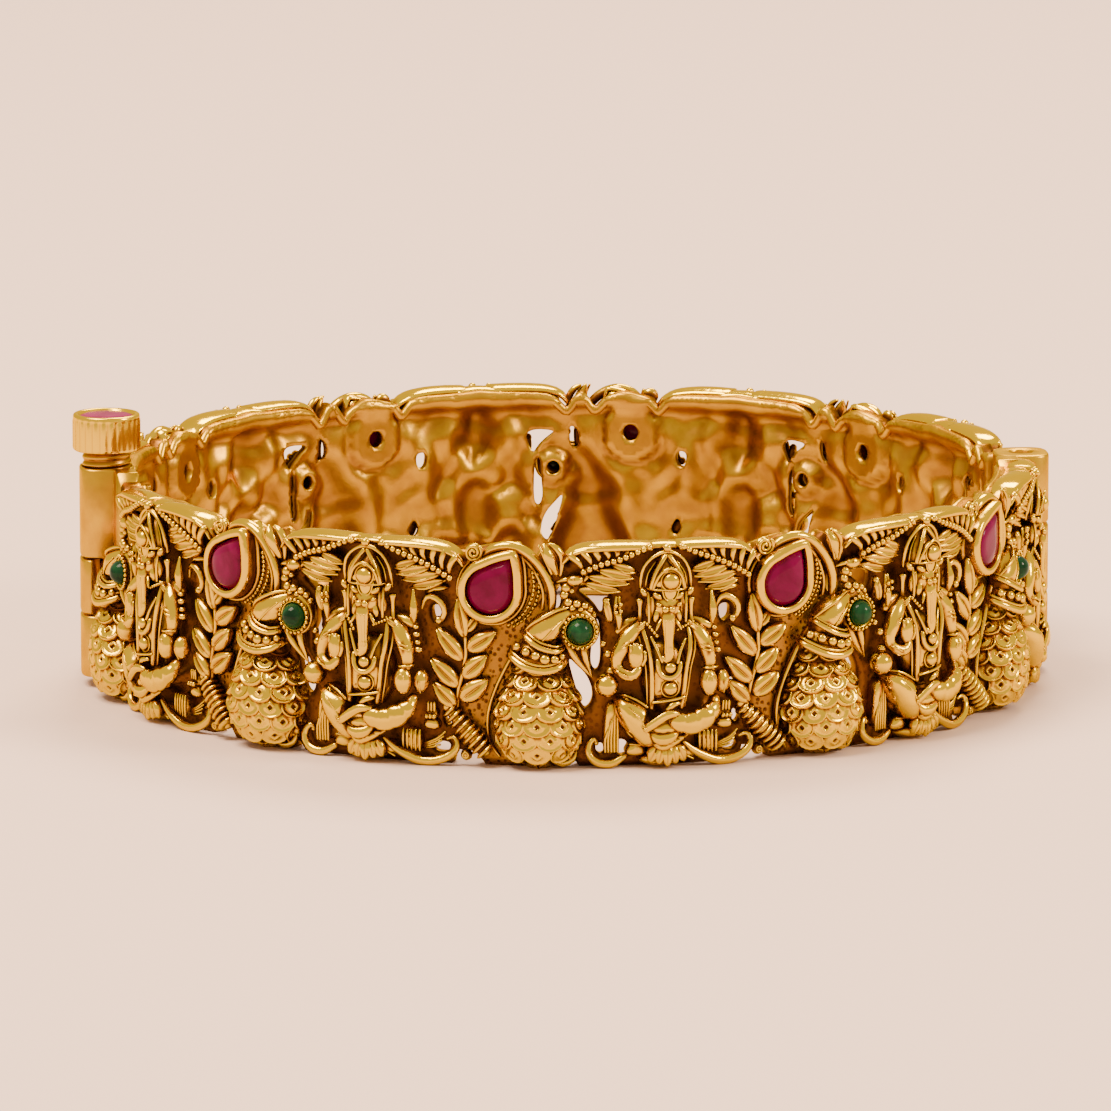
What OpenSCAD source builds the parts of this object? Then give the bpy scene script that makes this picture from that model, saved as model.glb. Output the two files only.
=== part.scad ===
// Kada: an openable gold temple bangle of two openwork halves with a hinge and a screw clasp.
// The bangle lies on its rim. The origin is the centre of the ring, on the surface it rests on.
// The screw clasp is on the -X side, the hinge on the +X side, and the viewer stands on the -Y side.
// Places on the band are given as [arc, reach, up]: millimetres along the band to the right of
// the middle of a figure, out from the inner wall, and up from the rim.

/* [Bangle] */
// Inside diameter of the closed ring
inner_d = 60.3; // [60:0.1:61]
// Height of the band
band_h = 15.6; // [15.5:0.1:15.8]
// Thickness of the wall that carries the relief
wall_t = 1.5; // [1.3:0.1:1.7]
// Radius at which distances along the band are measured
face_r = 33; // [32.8:0.1:33.2]
// Angle of the first figure of the front half from the viewer's side
first_figure = -60.4; // [-60.5:0.1:-60.3]

/* [Stones] */
// Half width of a pear ruby
ruby_r = 1.62; // [1.5:0.01:1.65]
// Distance from the round centre of a ruby to its tip
ruby_tip = 2.62; // [2.5:0.01:2.7]
// Thickness of the gold rim round a ruby
bezel_t = 0.5; // [0.4:0.01:0.55]
// Lean of the pear rubies
ruby_lean = -32; // [-36:1:-28]
// Radius of a round emerald
emerald_r = 0.9; // [0.85:0.01:0.95]
// Thickness of the gold rim round an emerald
collet_t = 0.32; // [0.28:0.01:0.36]
// Gap between a stone and its setting
stone_gap = 0.05; // [0.03:0.01:0.07]

/* [Hinge] */
// Distance from the ring's centre to the hinge and clasp tubes
tube_at = 32.3; // [32.2:0.1:32.4]
// Outside radius of the tubes
tube_r = 2.17; // [2.1:0.01:2.2]
// Height of the tubes' lower ends
tube_low = 0.76; // [0.7:0.01:0.9]
// Radius of the hinge pin
pin_r = 0.8; // [0.7:0.01:0.9]
// Gap round a turning pin or screw
run_gap = 0.05; // [0.04:0.01:0.07]
// Gap between two knuckles, one above the other
knuckle_gap = 0.15; // [0.12:0.01:0.2]
// Gap between a tube and the end of the band beside it
end_gap = 0.16; // [0.12:0.01:0.2]

/* [Clasp screw] */
// Radius of the fluted knob
knob_r = 2.39; // [2.35:0.01:2.42]
// Height of the knob
knob_h = 2.6; // [2.5:0.1:2.7]
// How far the screw stands up from its tightened place
knob_lift = 1.1; // [1:0.05:1.2]
// Radius of the threaded neck below the knob
neck_r = 1.6; // [1.55:0.01:1.65]
// Radius of the plain lower end of the screw
shank_r = 1; // [0.95:0.01:1.05]
// Radius of the knob's stone
knob_stone_r = 1.95; // [1.9:0.01:2]
// Flutes round the knob
flutes = 24; // [16:4:28]

/* [Hidden] */
$fn = 48;
tiny = 0.01;
inner_r = inner_d / 2;
half_turn = 180;
figures = 5;                             // figures in each half
pitch = half_turn / figures;             // angle from one figure to the next
clasp_at = first_figure - 24.7;          // angle of the clasp tube
hinge_at = clasp_at + half_turn;         // angle of the hinge tube
end_turn = asin(tube_r / tube_at) - 0.2; // angle from a tube to the end of the wall
web_turn = 3.2;                          // angle from a tube's axis to its web, clear of the bores
peacock_spot = [-8.64, 0.2, 3.8];        // middle of the hollow behind a peacock
ruby_spot = [8.87, 2.5, 12.2];
emerald_spot = [-5.7, 2.75, 9.5];
stone_depth = 1.1;                       // depth of the settings' seats
emerald_hole = 0.5;                      // radius of the hole behind an emerald
ruby_hole = 0.65;                        // radius of the hole behind a ruby
knob_seat = 0.5;                         // depth of the seat of the knob's stone
through = 20;                            // a length that cuts through the whole band

// Heights at which the tubes are parted into knuckles
hinge_cuts = [tube_low, 5.7, 10.65, band_h];
clasp_cuts = [tube_low, 5.2, 9.2, band_h];
shoulder = clasp_cuts[2];                // height of the neck's lower end, as shown
shank_low = 3;                           // height of the screw's tip, as shown
recess_low = shoulder - knob_lift - 0.2;
slot_w = 2 * shank_r + 0.3;              // slot through which the back half swings off the screw

// Colours
gold = "goldenrod";
ruby_red = "mediumvioletred";
emerald_green = "darkgreen";

// Openings of a unit of the band, each with its corners as [arc, up]
openings = [
    [[-6.4, 12.4], [-3.8, 12.3], [-4.6, 10.7], [-5.2, 11.6]],
    [[-4.9, 10.3], [-4.3, 10.2], [-4.5, 7.0], [-5.2, 6.8]],
    [[-6.7, 7.7], [-5.1, 6.3], [-4.8, 4.8], [-5.4, 4.0]],
    [[-8.0, 12.3], [-7.3, 12.6], [-7.3, 11.6], [-8.1, 11.2]],
    [[3.8, 11.8], [4.5, 11.4], [4.4, 10.2], [3.8, 10.0]],
    [[5.3, 6.0], [5.9, 4.9], [5.3, 4.5], [4.9, 5.2]],
    [[-3.1, 1.9], [-2.2, 1.7], [-2.4, 0.6], [-3.2, 0.9]],
    [[4.95, 3.9], [5.6, 3.3], [5.3, 2.6], [4.9, 3.0]],
    [[-5.4, 1.8], [-4.6, 1.9], [-4.5, 0.8], [-5.0, 0.8]],
    [[2.2, 1.9], [3.1, 1.9], [3.1, 0.7], [2.5, 0.7]]
];
// Notches in the wall's lower and upper edges, each with its corners as [arc, up]
notches = [
    [[-6.9, -2], [-6.1, 1.0], [-5.5, -2]],
    [[5.8, -2], [6.1, 1.3], [7.6, 1.0], [8.6, -2]],
    [[6.0, 17], [6.35, 14.35], [6.9, 17]],
    [[11.2, 17], [11.6, 14.0], [12.9, 17]]
];
// Balls of a seated figure: [arc, reach, up, radius]
figure_balls = [
    [0, 2.8, 11.25, 1.35], [0.1, 3.75, 13.0, 0.66], [0, 3.9, 6.4, 0.8],
    [-4.05, 2.2, 5.85, 0.9], [2.95, 3.0, 5.95, 0.85], [3.95, 2.2, 6.5, 0.7], [-2.2, 3.2, 7.9, 0.75],
    [6.0, 1.7, 2.0, 0.7]
];
// Limbs and rods of a seated figure: [start, end, radius at the start, radius at the end]
figure_rods = [
    [[0, 2.4, 12.0], [0, 2.6, 15.4], 1.25, 0.3],
    [[0.05, 3.9, 11.05], [0, 4.1, 6.9], 0.75, 0.5],
    [[-1.2, 2.2, 9.8], [-2.95, 2.5, 6.4], 0.95, 0.75],
    [[1.2, 2.2, 9.8], [3.1, 2.6, 6.2], 0.95, 0.75],
    [[0.2, 3.0, 2.2], [-3.0, 2.6, 4.25], 0.85, 1.15],
    [[-0.6, 3.3, 2.8], [3.2, 2.8, 4.4], 0.8, 0.7],
    [[-3.5, 1.7, 8.05], [-3.5, 1.7, 12.6], 0.45, 0.45],
    [[3.2, 1.7, 8.0], [3.2, 1.7, 12.6], 0.45, 0.45],
    [[-3.8, 1.8, 1.2], [-3.8, 1.8, 5.3], 0.6, 0.6],
    [[2.7, 1.7, 0.9], [2.7, 1.7, 3.2], 0.5, 0.5],
    [[4.1, 1.7, 1.8], [4.1, 1.7, 6.1], 0.75, 0.75]
];
// Arcs of wire: [arc, reach, up, radius of the bend, wire radius, first angle, sweep]
figure_wires = [
    [0, 1.9, 12.1, 1.95, 0.35, -8, 196],
    [-4.35, 1.65, 2.0, 1.6, 0.33, 165, 195],
    [3.8, 1.65, 2.25, 1.95, 0.33, 195, 200],
    [4.5, 1.6, 11.5, 0.75, 0.28, 0, 240]
];
ruby_wires = [[8.9, 1.9, 12.2, 3.05, 0.35, -38, 190]];
// Leaves of a spray: [arc, up, lean, length, width]
spray_leaves = [
    [5.75, 11.2, 95, 2.4, 1.0], [4.85, 8.8, 122, 2.6, 1.1], [6.95, 9.6, 52, 2.7, 1.1],
    [4.6, 7.0, 128, 2.6, 1.1], [6.9, 7.7, 50, 2.6, 1.1], [6.95, 5.8, 48, 2.6, 1.1]
];
// Outline of a canopy's half, scalloped below between its leaves, as [arc, up]
canopy_edge = [
    [0.6, 15.5], [6.0, 15.4], [6.6, 14.2], [5.9, 13.0], [5.2, 13.3], [4.4, 12.6], [3.7, 13.1],
    [2.9, 12.5], [2.2, 13.2], [1.0, 13.3]
];

// Places on the band
function turn(arc) = arc / face_r * 180 / PI;
function spot(p) = let (r = inner_r + p[1], a = turn(p[0])) [r * sin(a), -r * cos(a), p[2]];

module at(p) {
    rotate([0, 0, turn(p[0])]) translate([0, -inner_r - p[1], p[2]]) children();
}

module outward() {
    rotate([90, 0, 0]) children();
}

module sector(from, to, low_r, high_r, low, high) {
    rotate([0, 0, from - 90]) rotate_extrude(angle = to - from)
        translate([low_r, low]) square([high_r - low_r, high - low]);
}

module tube_place(angle) {
    rotate([0, 0, angle]) translate([0, -tube_at, 0]) children();
}

// Simple relief shapes
module rod(a, b, ra, rb) {
    p = spot(a);
    d = spot(b) - p;
    translate(p) rotate([0, acos(d[2] / norm(d)), atan2(d[1], d[0])])
        cylinder(h = norm(d), r1 = ra, r2 = rb);
}

module wire(w) {
    at([w[0], w[1], w[2]]) outward() rotate([0, 0, w[5]])
        rotate_extrude(angle = w[6]) translate([w[3], 0]) circle(w[4]);
}

module leaf(arc, up, lean, long, wide) {
    bend = (long * long + wide * wide) / (4 * wide);
    at([arc, wall_t - 0.4, up]) outward() rotate([0, 0, lean]) linear_extrude(1.15)
        intersection() {
            translate([0, bend - wide / 2]) circle(bend);
            translate([0, wide / 2 - bend]) circle(bend);
        }
}

// A pear outline with its tip up
module pear_outline(r, tip) {
    lean = acos(r / tip);
    circle(r);
    polygon([[0, tip], [-r * sin(lean), r * cos(lean)], [0, 0], [r * sin(lean), r * cos(lean)]]);
}

// The same outline cut in straight sides, for a faceted stone
module pear_facets(r, tip) {
    lean = acos(r / tip);
    polygon(concat([[0, tip]], [for (k = [0:9]) let (a = 90 + lean + k * (360 - 2 * lean) / 9)
        [r * cos(a), r * sin(a)]]));
}

module pear_body(k) {
    rotate_extrude() polygon([[0, -3.75 * k], [1.4 * k, -3.6 * k], [2.5 * k, -2.8 * k],
        [3.05 * k, -1.4 * k], [3 * k, 0], [2.4 * k, 1.6 * k], [1.7 * k, 2.9 * k],
        [1.35 * k, 3.9 * k], [0, 3.9 * k]]);
}

module canopy(side) {
    at([3.4 * side, 1, 0]) outward() linear_extrude(1.3)
        polygon([for (c = canopy_edge) [side * (c[0] - 3.4), c[1]]]);
    for (k = [0:4])
        rod([side * (1.2 + 1.05 * k), 2.2, 15.1], [side * (1.7 + 1.1 * k), 2.1, 13.4], 0.4, 0.25);
}

// A figure seated under a leafy canopy
module figure() {
    at([0, 1.6, 5.9]) rotate_extrude() polygon([[0, -2.7], [1.6, -2.4], [2.1, -1],
        [2.05, 0.6], [1.5, 2.6], [1.55, 3.5], [1.0, 4.6], [0, 4.6]]);
    for (b = figure_balls) at([b[0], b[1], b[2]]) sphere(b[3]);
    for (r = figure_rods) rod(r[0], r[1], r[2], r[3]);
    for (w = figure_wires) wire(w);
    for (side = [-1, 1]) {
        at([1.5 * side, 2.1, 11.2]) outward() translate([0, 0, -0.5]) cylinder(h = 0.9, r = 0.85);
        canopy(side);
    }
    at([0, 1, 0]) outward() translate([-1.6, -1]) linear_extrude(2.4) square([3.3, 2.3]);
}

// A spray of leaves and the rope shell below it
module spray() {
    rod([5.7, 1.62, 3.6], [5.85, 1.62, 10.4], 0.35, 0.3);
    for (l = spray_leaves) leaf(l[0], l[1], l[2], l[3], l[4]);
    rod([5.5, 1.7, 3.7], [7.6, 1.8, 1.7], 0.55, 0.9);
}

// The rim and the arched scroll of a ruby
module ruby_setting() {
    for (w = ruby_wires) wire(w);
    at([6.7, 1.7, 14.7]) sphere(0.75);
    at([10.7, 1.3, 14.6]) sphere(0.95);
    at([ruby_spot[0], wall_t - 0.4, ruby_spot[2]]) outward() rotate([0, 0, ruby_lean])
        linear_extrude(ruby_spot[1] - wall_t + 1.15)
            pear_outline(ruby_r + bezel_t, ruby_tip + 0.62);
}

// A peacock beside the figure, with its round emerald
module peacock() {
    at([peacock_spot[0], 1.3, peacock_spot[2]]) pear_body(1);
    at([-8.3, 1.8, 7.9]) rotate([0, 14, 0]) {
        translate([0, 0, -0.8]) rotate_extrude() translate([1.45, 0]) circle(0.33);
        translate([0, 0, 0.55]) rotate_extrude() translate([1.3, 0]) circle(0.3);
        translate([0, 0, -0.95]) cylinder(h = 1.6, r1 = 1.6, r2 = 1.42);
    }
    rod([-8.1, 1.9, 8.3], [-6.9, 2.1, 10.3], 1.3, 1.05);
    at([-7.1, 1.9, 10.3]) sphere(1.25);
    rod([-5.5, 1.6, 9.3], [-5.0, 1.7, 6.7], 0.6, 0.25);
    at([emerald_spot[0], 1, emerald_spot[2]]) outward()
        cylinder(h = emerald_spot[1] - 0.2, r = emerald_r + collet_t);
}

// Seats and see-through holes behind the stones
module emerald_seat() {
    at(emerald_spot) outward() {
        translate([0, 0, -stone_depth]) cylinder(h = 4, r = emerald_r + stone_gap);
        translate([0, 0, -4]) cylinder(h = 4, r = emerald_hole);
    }
}

module ruby_seat() {
    at(ruby_spot) outward() {
        rotate([0, 0, ruby_lean]) translate([0, 0, -stone_depth]) linear_extrude(4)
            pear_outline(ruby_r + stone_gap, ruby_tip + stone_gap);
        translate([0, 0, -4]) cylinder(h = 4, r = ruby_hole);
    }
}

module pierced(corners) {
    rotate([0, 0, turn(corners[0][0])]) translate([0, -inner_r + 1, 0]) outward()
        linear_extrude(5) polygon([for (c = corners) [c[0] - corners[0][0], c[1]]]);
}

module notch(corners) {
    rotate([0, 0, turn(corners[0][0])]) translate([0, -inner_r + 1, 0]) outward()
        linear_extrude(1 + wall_t + 0.25) polygon([for (c = corners) [c[0] - corners[0][0], c[1]]]);
}

// A knuckle and the web that joins it to the wall on one side of it
module knuckle(angle, low, high, side) {
    tube_place(angle) translate([0, 0, low]) cylinder(h = high - low, r = tube_r);
    web = [angle + side * web_turn, angle + side * (end_turn + 1.4)];
    sector(min(web), max(web), inner_r + 0.2, inner_r + 1.8, low + 0.1, high - 0.1);
}

function spans(cuts, own) = [for (k = [0:2]) if ((k != 1) == own)
    [cuts[k] + (k > 0 ? knuckle_gap / 2 : 0), cuts[k + 1] - (k < 2 ? knuckle_gap / 2 : 0)]];

// The openwork and its relief, from one tube to the other, as cast in one piece
module cast_half(turned) {
    difference() {
        union() {
            sector(turned + clasp_at + end_turn, turned + hinge_at - end_turn, inner_r - 1,
                inner_r + wall_t, -1, band_h - 0.5);
            for (i = [0:figures - 1]) rotate([0, 0, turned + first_figure + i * pitch]) {
                figure();
                peacock();
                if (i < figures - 1) {
                    spray();
                    ruby_setting();
                }
            }
        }
        for (i = [0:figures - 1]) rotate([0, 0, turned + first_figure + i * pitch]) {
            for (corners = openings) if (i < figures - 1 || corners[0][0] < 4) pierced(corners);
            for (corners = notches) if (i < figures - 1 || corners[0][0] < 4) notch(corners);
            at(peacock_spot) pear_body(0.72);
            emerald_seat();
            if (i < figures - 1) ruby_seat();
        }
        for (angle = [clasp_at, hinge_at])
            tube_place(angle) translate([0, 0, -1]) cylinder(h = through, r = tube_r + end_gap);
        translate([0, 0, -1]) cylinder(h = through, r = inner_r);
        translate([0, 0, -2]) cylinder(h = 2, r = 50);
    }
}

// Bores for the hinge pin and for the screw of the clasp
module pin_bore() {
    tube_place(hinge_at) translate([0, 0, -1]) cylinder(h = through, r = pin_r + run_gap);
}

module screw_bore(neck_low, shank_bottom) {
    tube_place(clasp_at) {
        translate([0, 0, neck_low]) cylinder(h = 5 + band_h, r = neck_r + run_gap);
        translate([0, 0, shank_bottom]) cylinder(h = through, r = shank_r + run_gap);
    }
}

module front_band() {
    color(gold) {
        cast_half(0);
        difference() {
            for (s = spans(clasp_cuts, true)) knuckle(clasp_at, s[0], s[1], 1);
            screw_bore(shoulder - 1, shank_low - knob_lift - 0.2);
        }
        difference() {
            for (s = spans(hinge_cuts, true)) knuckle(hinge_at, s[0], s[1], -1);
            pin_bore();
        }
    }
}

module back_band() {
    color(gold) {
        cast_half(half_turn);
        difference() {
            for (s = spans(hinge_cuts, false)) knuckle(hinge_at, s[0], s[1], 1);
            pin_bore();
        }
        difference() {
            for (s = spans(clasp_cuts, false)) knuckle(clasp_at, s[0], s[1], -1);
            screw_bore(recess_low, -1);
            tube_place(clasp_at) translate([0, -slot_w / 2, -1]) cube([5, slot_w, through]);
        }
    }
}

module hinge_pin() {
    color(gold) tube_place(hinge_at) translate([0, 0, tube_low + 0.1])
        cylinder(h = band_h - tube_low - 0.2, r = pin_r);
}

module clasp_screw() {
    knob_low = band_h + knob_lift;
    color(gold) tube_place(clasp_at) difference() {
        union() {
            translate([0, 0, shank_low]) cylinder(h = shoulder - shank_low + tiny, r = shank_r);
            translate([0, 0, shoulder]) cylinder(h = knob_low - shoulder + tiny, r = neck_r);
            translate([0, 0, knob_low]) cylinder(h = knob_h, r = knob_r);
        }
        translate([0, 0, knob_low + knob_h - knob_seat]) cylinder(h = 1, r = knob_stone_r + stone_gap);
        for (k = [0:flutes - 1]) rotate([0, 0, k * 360 / flutes])
            translate([knob_r + 0.08, 0, knob_low - tiny]) cylinder(h = knob_h + 1, r = 0.2, $fn = 24);
    }
}

module knob_stone() {
    seat_at = band_h + knob_lift + knob_h - knob_seat;
    color(ruby_red) tube_place(clasp_at) translate([0, 0, seat_at + stone_gap]) {
        cylinder(h = 0.25, r = knob_stone_r, $fn = 12);
        translate([0, 0, 0.24]) cylinder(h = 0.2, r1 = knob_stone_r, r2 = knob_stone_r - 0.35, $fn = 12);
    }
}

// Rubies 1 to 4 are in the front half and 5 to 8 in the back half, from the clasp round
module ruby(n) {
    half = floor((n - 1) / (figures - 1));
    i = (n - 1) % (figures - 1);
    color(ruby_red) rotate([0, 0, first_figure + half * half_turn + i * pitch])
        at([ruby_spot[0], ruby_spot[1] - stone_depth + stone_gap, ruby_spot[2]]) outward()
            rotate([0, 0, ruby_lean]) {
                linear_extrude(1.2) pear_facets(ruby_r, ruby_tip);
                translate([0, 0, 1.2]) linear_extrude(0.4, scale = 0.76) pear_facets(ruby_r, ruby_tip);
            }
}

// Emeralds 1 to 5 are in the front half and 6 to 10 in the back half, from the clasp round
module emerald(n) {
    half = floor((n - 1) / figures);
    i = (n - 1) % figures;
    color(emerald_green) rotate([0, 0, first_figure + half * half_turn + i * pitch])
        at([emerald_spot[0], emerald_spot[1] - stone_depth + stone_gap, emerald_spot[2]]) outward()
            rotate_extrude() intersection() {
                translate([0, -0.35]) circle(2.2);
                square([emerald_r, 3]);
            }
}

front_band();
back_band();
hinge_pin();
clasp_screw();
knob_stone();
for (n = [1:8]) ruby(n);
for (n = [1:10]) emerald(n);
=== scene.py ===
import bmesh
import bpy
import math
import numpy as np
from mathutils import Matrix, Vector
from mathutils.bvhtree import BVHTree
from mathutils.geometry import delaunay_2d_cdt


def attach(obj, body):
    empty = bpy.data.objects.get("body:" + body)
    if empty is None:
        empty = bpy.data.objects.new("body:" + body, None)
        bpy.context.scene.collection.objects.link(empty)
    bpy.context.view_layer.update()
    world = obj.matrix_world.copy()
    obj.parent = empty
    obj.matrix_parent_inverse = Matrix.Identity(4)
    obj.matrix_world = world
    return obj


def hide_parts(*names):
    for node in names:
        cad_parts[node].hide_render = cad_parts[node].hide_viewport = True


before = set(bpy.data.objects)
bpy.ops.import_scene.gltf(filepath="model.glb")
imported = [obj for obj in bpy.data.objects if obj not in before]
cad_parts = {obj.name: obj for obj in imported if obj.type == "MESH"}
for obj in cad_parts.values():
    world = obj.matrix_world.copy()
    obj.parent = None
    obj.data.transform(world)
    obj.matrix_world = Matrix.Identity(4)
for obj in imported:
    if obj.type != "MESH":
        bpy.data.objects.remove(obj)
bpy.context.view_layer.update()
print("frame loaded")

# Places on the band are [along, out, up] in millimetres: along the band to the right of a figure's
# middle, out from the inner wall, and up from the rim. A fourth number is the form's radius there.
band = {"innerRadius": 30.15, "measuredAt": 33.0, "wall": 1.5, "high": 15.6, "units": 5, "firstFigure": -60.4,
        "unitTurn": 36.0, "tubeAt": 32.3, "claspTurn": -85.1, "hingeTurn": 94.9, "start": -11.85,
        "lastCut": 4.05}
unitLength = math.radians(band["unitTurn"]) * band["measuredAt"]
lastUnit = band["units"] - 1
wallStart, wallEnd = band["start"], unitLength * lastUnit + band["lastCut"]   # between the two tubes


def bend(points, figureTurn):   # from the band's places to metres round the ring
    turn = np.radians(figureTurn) + points[:, 0] / band["measuredAt"]
    reach = band["innerRadius"] + points[:, 1]
    return np.stack([reach * np.sin(turn), -reach * np.cos(turn), points[:, 2]], 1) * 0.001


def curve(path, step=0.3):   # a smooth line through the path's points
    p = np.array(path, float)
    q = np.vstack([2 * p[0] - p[1], p, 2 * p[-1] - p[-2]])
    out = []
    for i in range(1, len(q) - 2):
        a, b, c, d = q[i - 1:i + 3]
        t = np.linspace(0, 1, max(2, int(np.linalg.norm((c - b)[:3]) / step)), endpoint=False)[:, None]
        out.append(0.5 * (2 * b + (c - a) * t + (2 * a - 5 * b + 4 * c - d) * t ** 2
                          + (3 * b - a - 3 * c + d) * t ** 3))
    return np.vstack(out + [p[-1:]])


def rounded(corners, times=2):   # a closed outline with its corners rounded
    p = np.array(corners, float)
    for _ in range(times):
        after = np.roll(p, -1, 0)
        p = np.stack([0.75 * p + 0.25 * after, 0.25 * p + 0.75 * after], 1).reshape(-1, 2)
    return p


def circle(radius, parts=32):
    a = np.arange(parts) * 2 * math.pi / parts
    return np.stack([radius * np.cos(a), radius * np.sin(a)], 1)


def frames(line, closed=False):   # which way a line runs, which way is out, and its side
    along = np.roll(line, -1, 0) - np.roll(line, 1, 0) if closed else np.gradient(line, axis=0)
    along /= np.linalg.norm(along, axis=1)[:, None] + 1e-9
    out = np.array([0, 1.0, 0]) - along * along[:, 1:2]
    out /= np.linalg.norm(out, axis=1)[:, None] + 1e-9
    return along, out, np.cross(along, out)


def leaning(tilt):   # axes turned by a tilt in degrees, in the face of the band
    t = math.radians(tilt)
    return np.array([[math.cos(t), 0, math.sin(t)], [0, 1, 0], [-math.sin(t), 0, math.cos(t)]])


class Casting:   # gathers closed forms that are cast together
    def __init__(self):
        self.points, self.quads, self.threes, self.count = [], [], [], 0

    def skin(self, rings, start, end):   # a form through rings of points, with a point at each end
        n, m = rings.shape[:2]
        ring = self.count + 1 + np.arange(n * m).reshape(n, m)
        after = np.roll(ring, -1, 1)
        self.quads.append(np.stack([ring[:-1], after[:-1], after[1:], ring[1:]], -1).reshape(-1, 4))
        self.threes.append(np.stack([np.full(m, self.count), after[0], ring[0]], -1))
        self.threes.append(np.stack([np.full(m, self.count + n * m + 1), ring[-1], after[-1]], -1))
        self.points.append(np.vstack([start, rings.reshape(-1, 3), end]))
        self.count += n * m + 2

    def loop(self, rings):   # a form whose last ring meets its first
        n, m = rings.shape[:2]
        ring = self.count + np.arange(n * m).reshape(n, m)
        after = np.roll(ring, -1, 1)
        self.quads.append(np.stack([ring, after, np.roll(after, -1, 0), np.roll(ring, -1, 0)],
                                   -1).reshape(-1, 4))
        self.points.append(rings.reshape(-1, 3))
        self.count += n * m

    def rod(self, path, thick=0.2, flat=1.0, sides=0, step=0.32):   # a round-ended rod along a path
        p = [list(q) + [thick] * (4 - len(q)) for q in path]
        line = curve(p, step)
        sides = sides or (6 if line[:, 3].max() < 0.15 else 8)
        c, r = line[:, :3], np.maximum(line[:, 3], 0.03)
        along, out, side = frames(c)
        turn = np.arange(sides) * 2 * math.pi / sides
        spoke = (np.cos(turn)[None, :, None] * side[:, None]
                 + flat * np.sin(turn)[None, :, None] * out[:, None])
        rings = c[:, None] + r[:, None, None] * spoke
        tips = [c[0] - along[0] * r[0] * 0.7 + r[0] * 0.75 * spoke[0]]
        tails = [c[-1] + along[-1] * r[-1] * 0.7 + r[-1] * 0.75 * spoke[-1]]
        self.skin(np.concatenate([tips, rings, tails]), c[0] - along[0] * r[0], c[-1] + along[-1] * r[-1])

    def ball(self, at, size, shape=(1, 1, 1), tilt=0, parts=14, axes=None):
        a = np.arange(parts) * 2 * math.pi / parts
        b = np.arange(1, parts // 2) * math.pi / (parts // 2)
        axes = leaning(tilt) if axes is None else axes
        form = np.stack([np.sin(b)[:, None] * np.cos(a), np.cos(b)[:, None] + 0 * a,
                         np.sin(b)[:, None] * np.sin(a)], -1) * np.array(shape) * size
        at, top = np.array(at, float), np.array([0, shape[1] * size, 0]) @ axes
        self.skin(at + form @ axes, at + top, at - top)

    def hoop(self, at, radius, thick, axes=None, oval=1.0, parts=14, sides=6):   # a ring that faces out
        a = np.arange(parts) * 2 * math.pi / parts
        b = np.arange(sides) * 2 * math.pi / sides
        r = radius + thick * np.cos(b)[None]
        form = np.stack([r * np.cos(a)[:, None], thick * np.sin(b)[None] + 0 * a[:, None],
                         oval * r * np.sin(a)[:, None]], -1)
        self.loop(np.array(at, float) + form @ (np.eye(3) if axes is None else axes))

    def turned(self, at, profile, tilt=0, squash=1.0, parts=20):   # profile of [radius, height]
        p, at = np.array(profile, float), np.array(at, float)
        a = np.arange(parts) * 2 * math.pi / parts
        form = np.stack([p[:, :1] * np.cos(a), squash * p[:, :1] * np.sin(a), p[:, 1:] + 0 * a], -1)
        spin = leaning(-tilt)
        self.skin(at + form @ spin, at + np.array([0, 0, p[0, 1]]) @ spin,
                  at + np.array([0, 0, p[-1, 1]]) @ spin)

    def pad(self, corners, out, lift, power=3.0, sink=0.5):   # a cushioned flat form
        edge = rounded(corners)
        middle = edge.mean(0)
        rows = [(1.0, -sink), (1.0, 0.0)]
        rows += [(f, lift * (1 - f ** power) ** (1 / power)) for f in (0.985, 0.94, 0.85, 0.7, 0.48, 0.24)]
        rings = []
        for f, high in rows:
            p = middle + (edge - middle) * f
            rings.append(np.column_stack([p[:, 0], np.full(len(p), out + high), p[:, 1]]))
        self.skin(np.array(rings), [middle[0], out - sink, middle[1]], [middle[0], out + lift, middle[1]])

    def leaf(self, base, tip, width, lift=0.5, vein=0.26, parts=9):   # a domed leaf with a sunk vein
        base, tip = np.array(base, float), np.array(tip, float)
        along, out, side = (v[0] for v in frames(np.vstack([base, tip])))
        s = np.arange(1, parts) / parts
        half = width / 2 * np.sin(math.pi * s ** 0.85) ** 0.75
        crown = np.sin(math.pi * s) ** 0.4
        v = np.array([-1, -0.88, -0.62, -0.28, 0, 0.28, 0.62, 0.88, 1, 0.6, -0.6])
        high = np.where(np.arange(11) < 9, lift * np.sqrt(1 - np.minimum(v * v, 1))
                        - vein * np.exp(-(v / 0.2) ** 2), -0.4)
        rings = (base + (tip - base) * s[:, None])[:, None] + side * (half[:, None] * v)[..., None] \
            + out * (crown[:, None] * high)[..., None]
        self.skin(rings, base, tip)

    def string(self, path, size, gap, parts=8):   # beads at even gaps along a path
        line = curve(path, 0.05)[:, :3]
        run = np.concatenate([[0], np.cumsum(np.linalg.norm(np.diff(line, axis=0), axis=1))])
        for d in np.linspace(0, run[-1], max(2, round(run[-1] / gap) + 1)):
            self.ball([np.interp(d, run, line[:, k]) for k in range(3)], size, parts=parts)

    def whole(self):
        threes = np.vstack(self.threes) if self.threes else np.zeros((0, 3), int)
        return np.vstack(self.points), np.vstack(self.quads), threes


def meshOf(name, points, quads, threes):
    mesh = bpy.data.meshes.new(name)
    mesh.from_pydata(points.tolist(), [], quads.tolist() + threes.tolist())
    form = bmesh.new()
    form.from_mesh(mesh)
    bmesh.ops.recalc_face_normals(form, faces=form.faces)
    form.to_mesh(mesh)
    form.free()
    mesh.shade_smooth()
    return mesh


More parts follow.
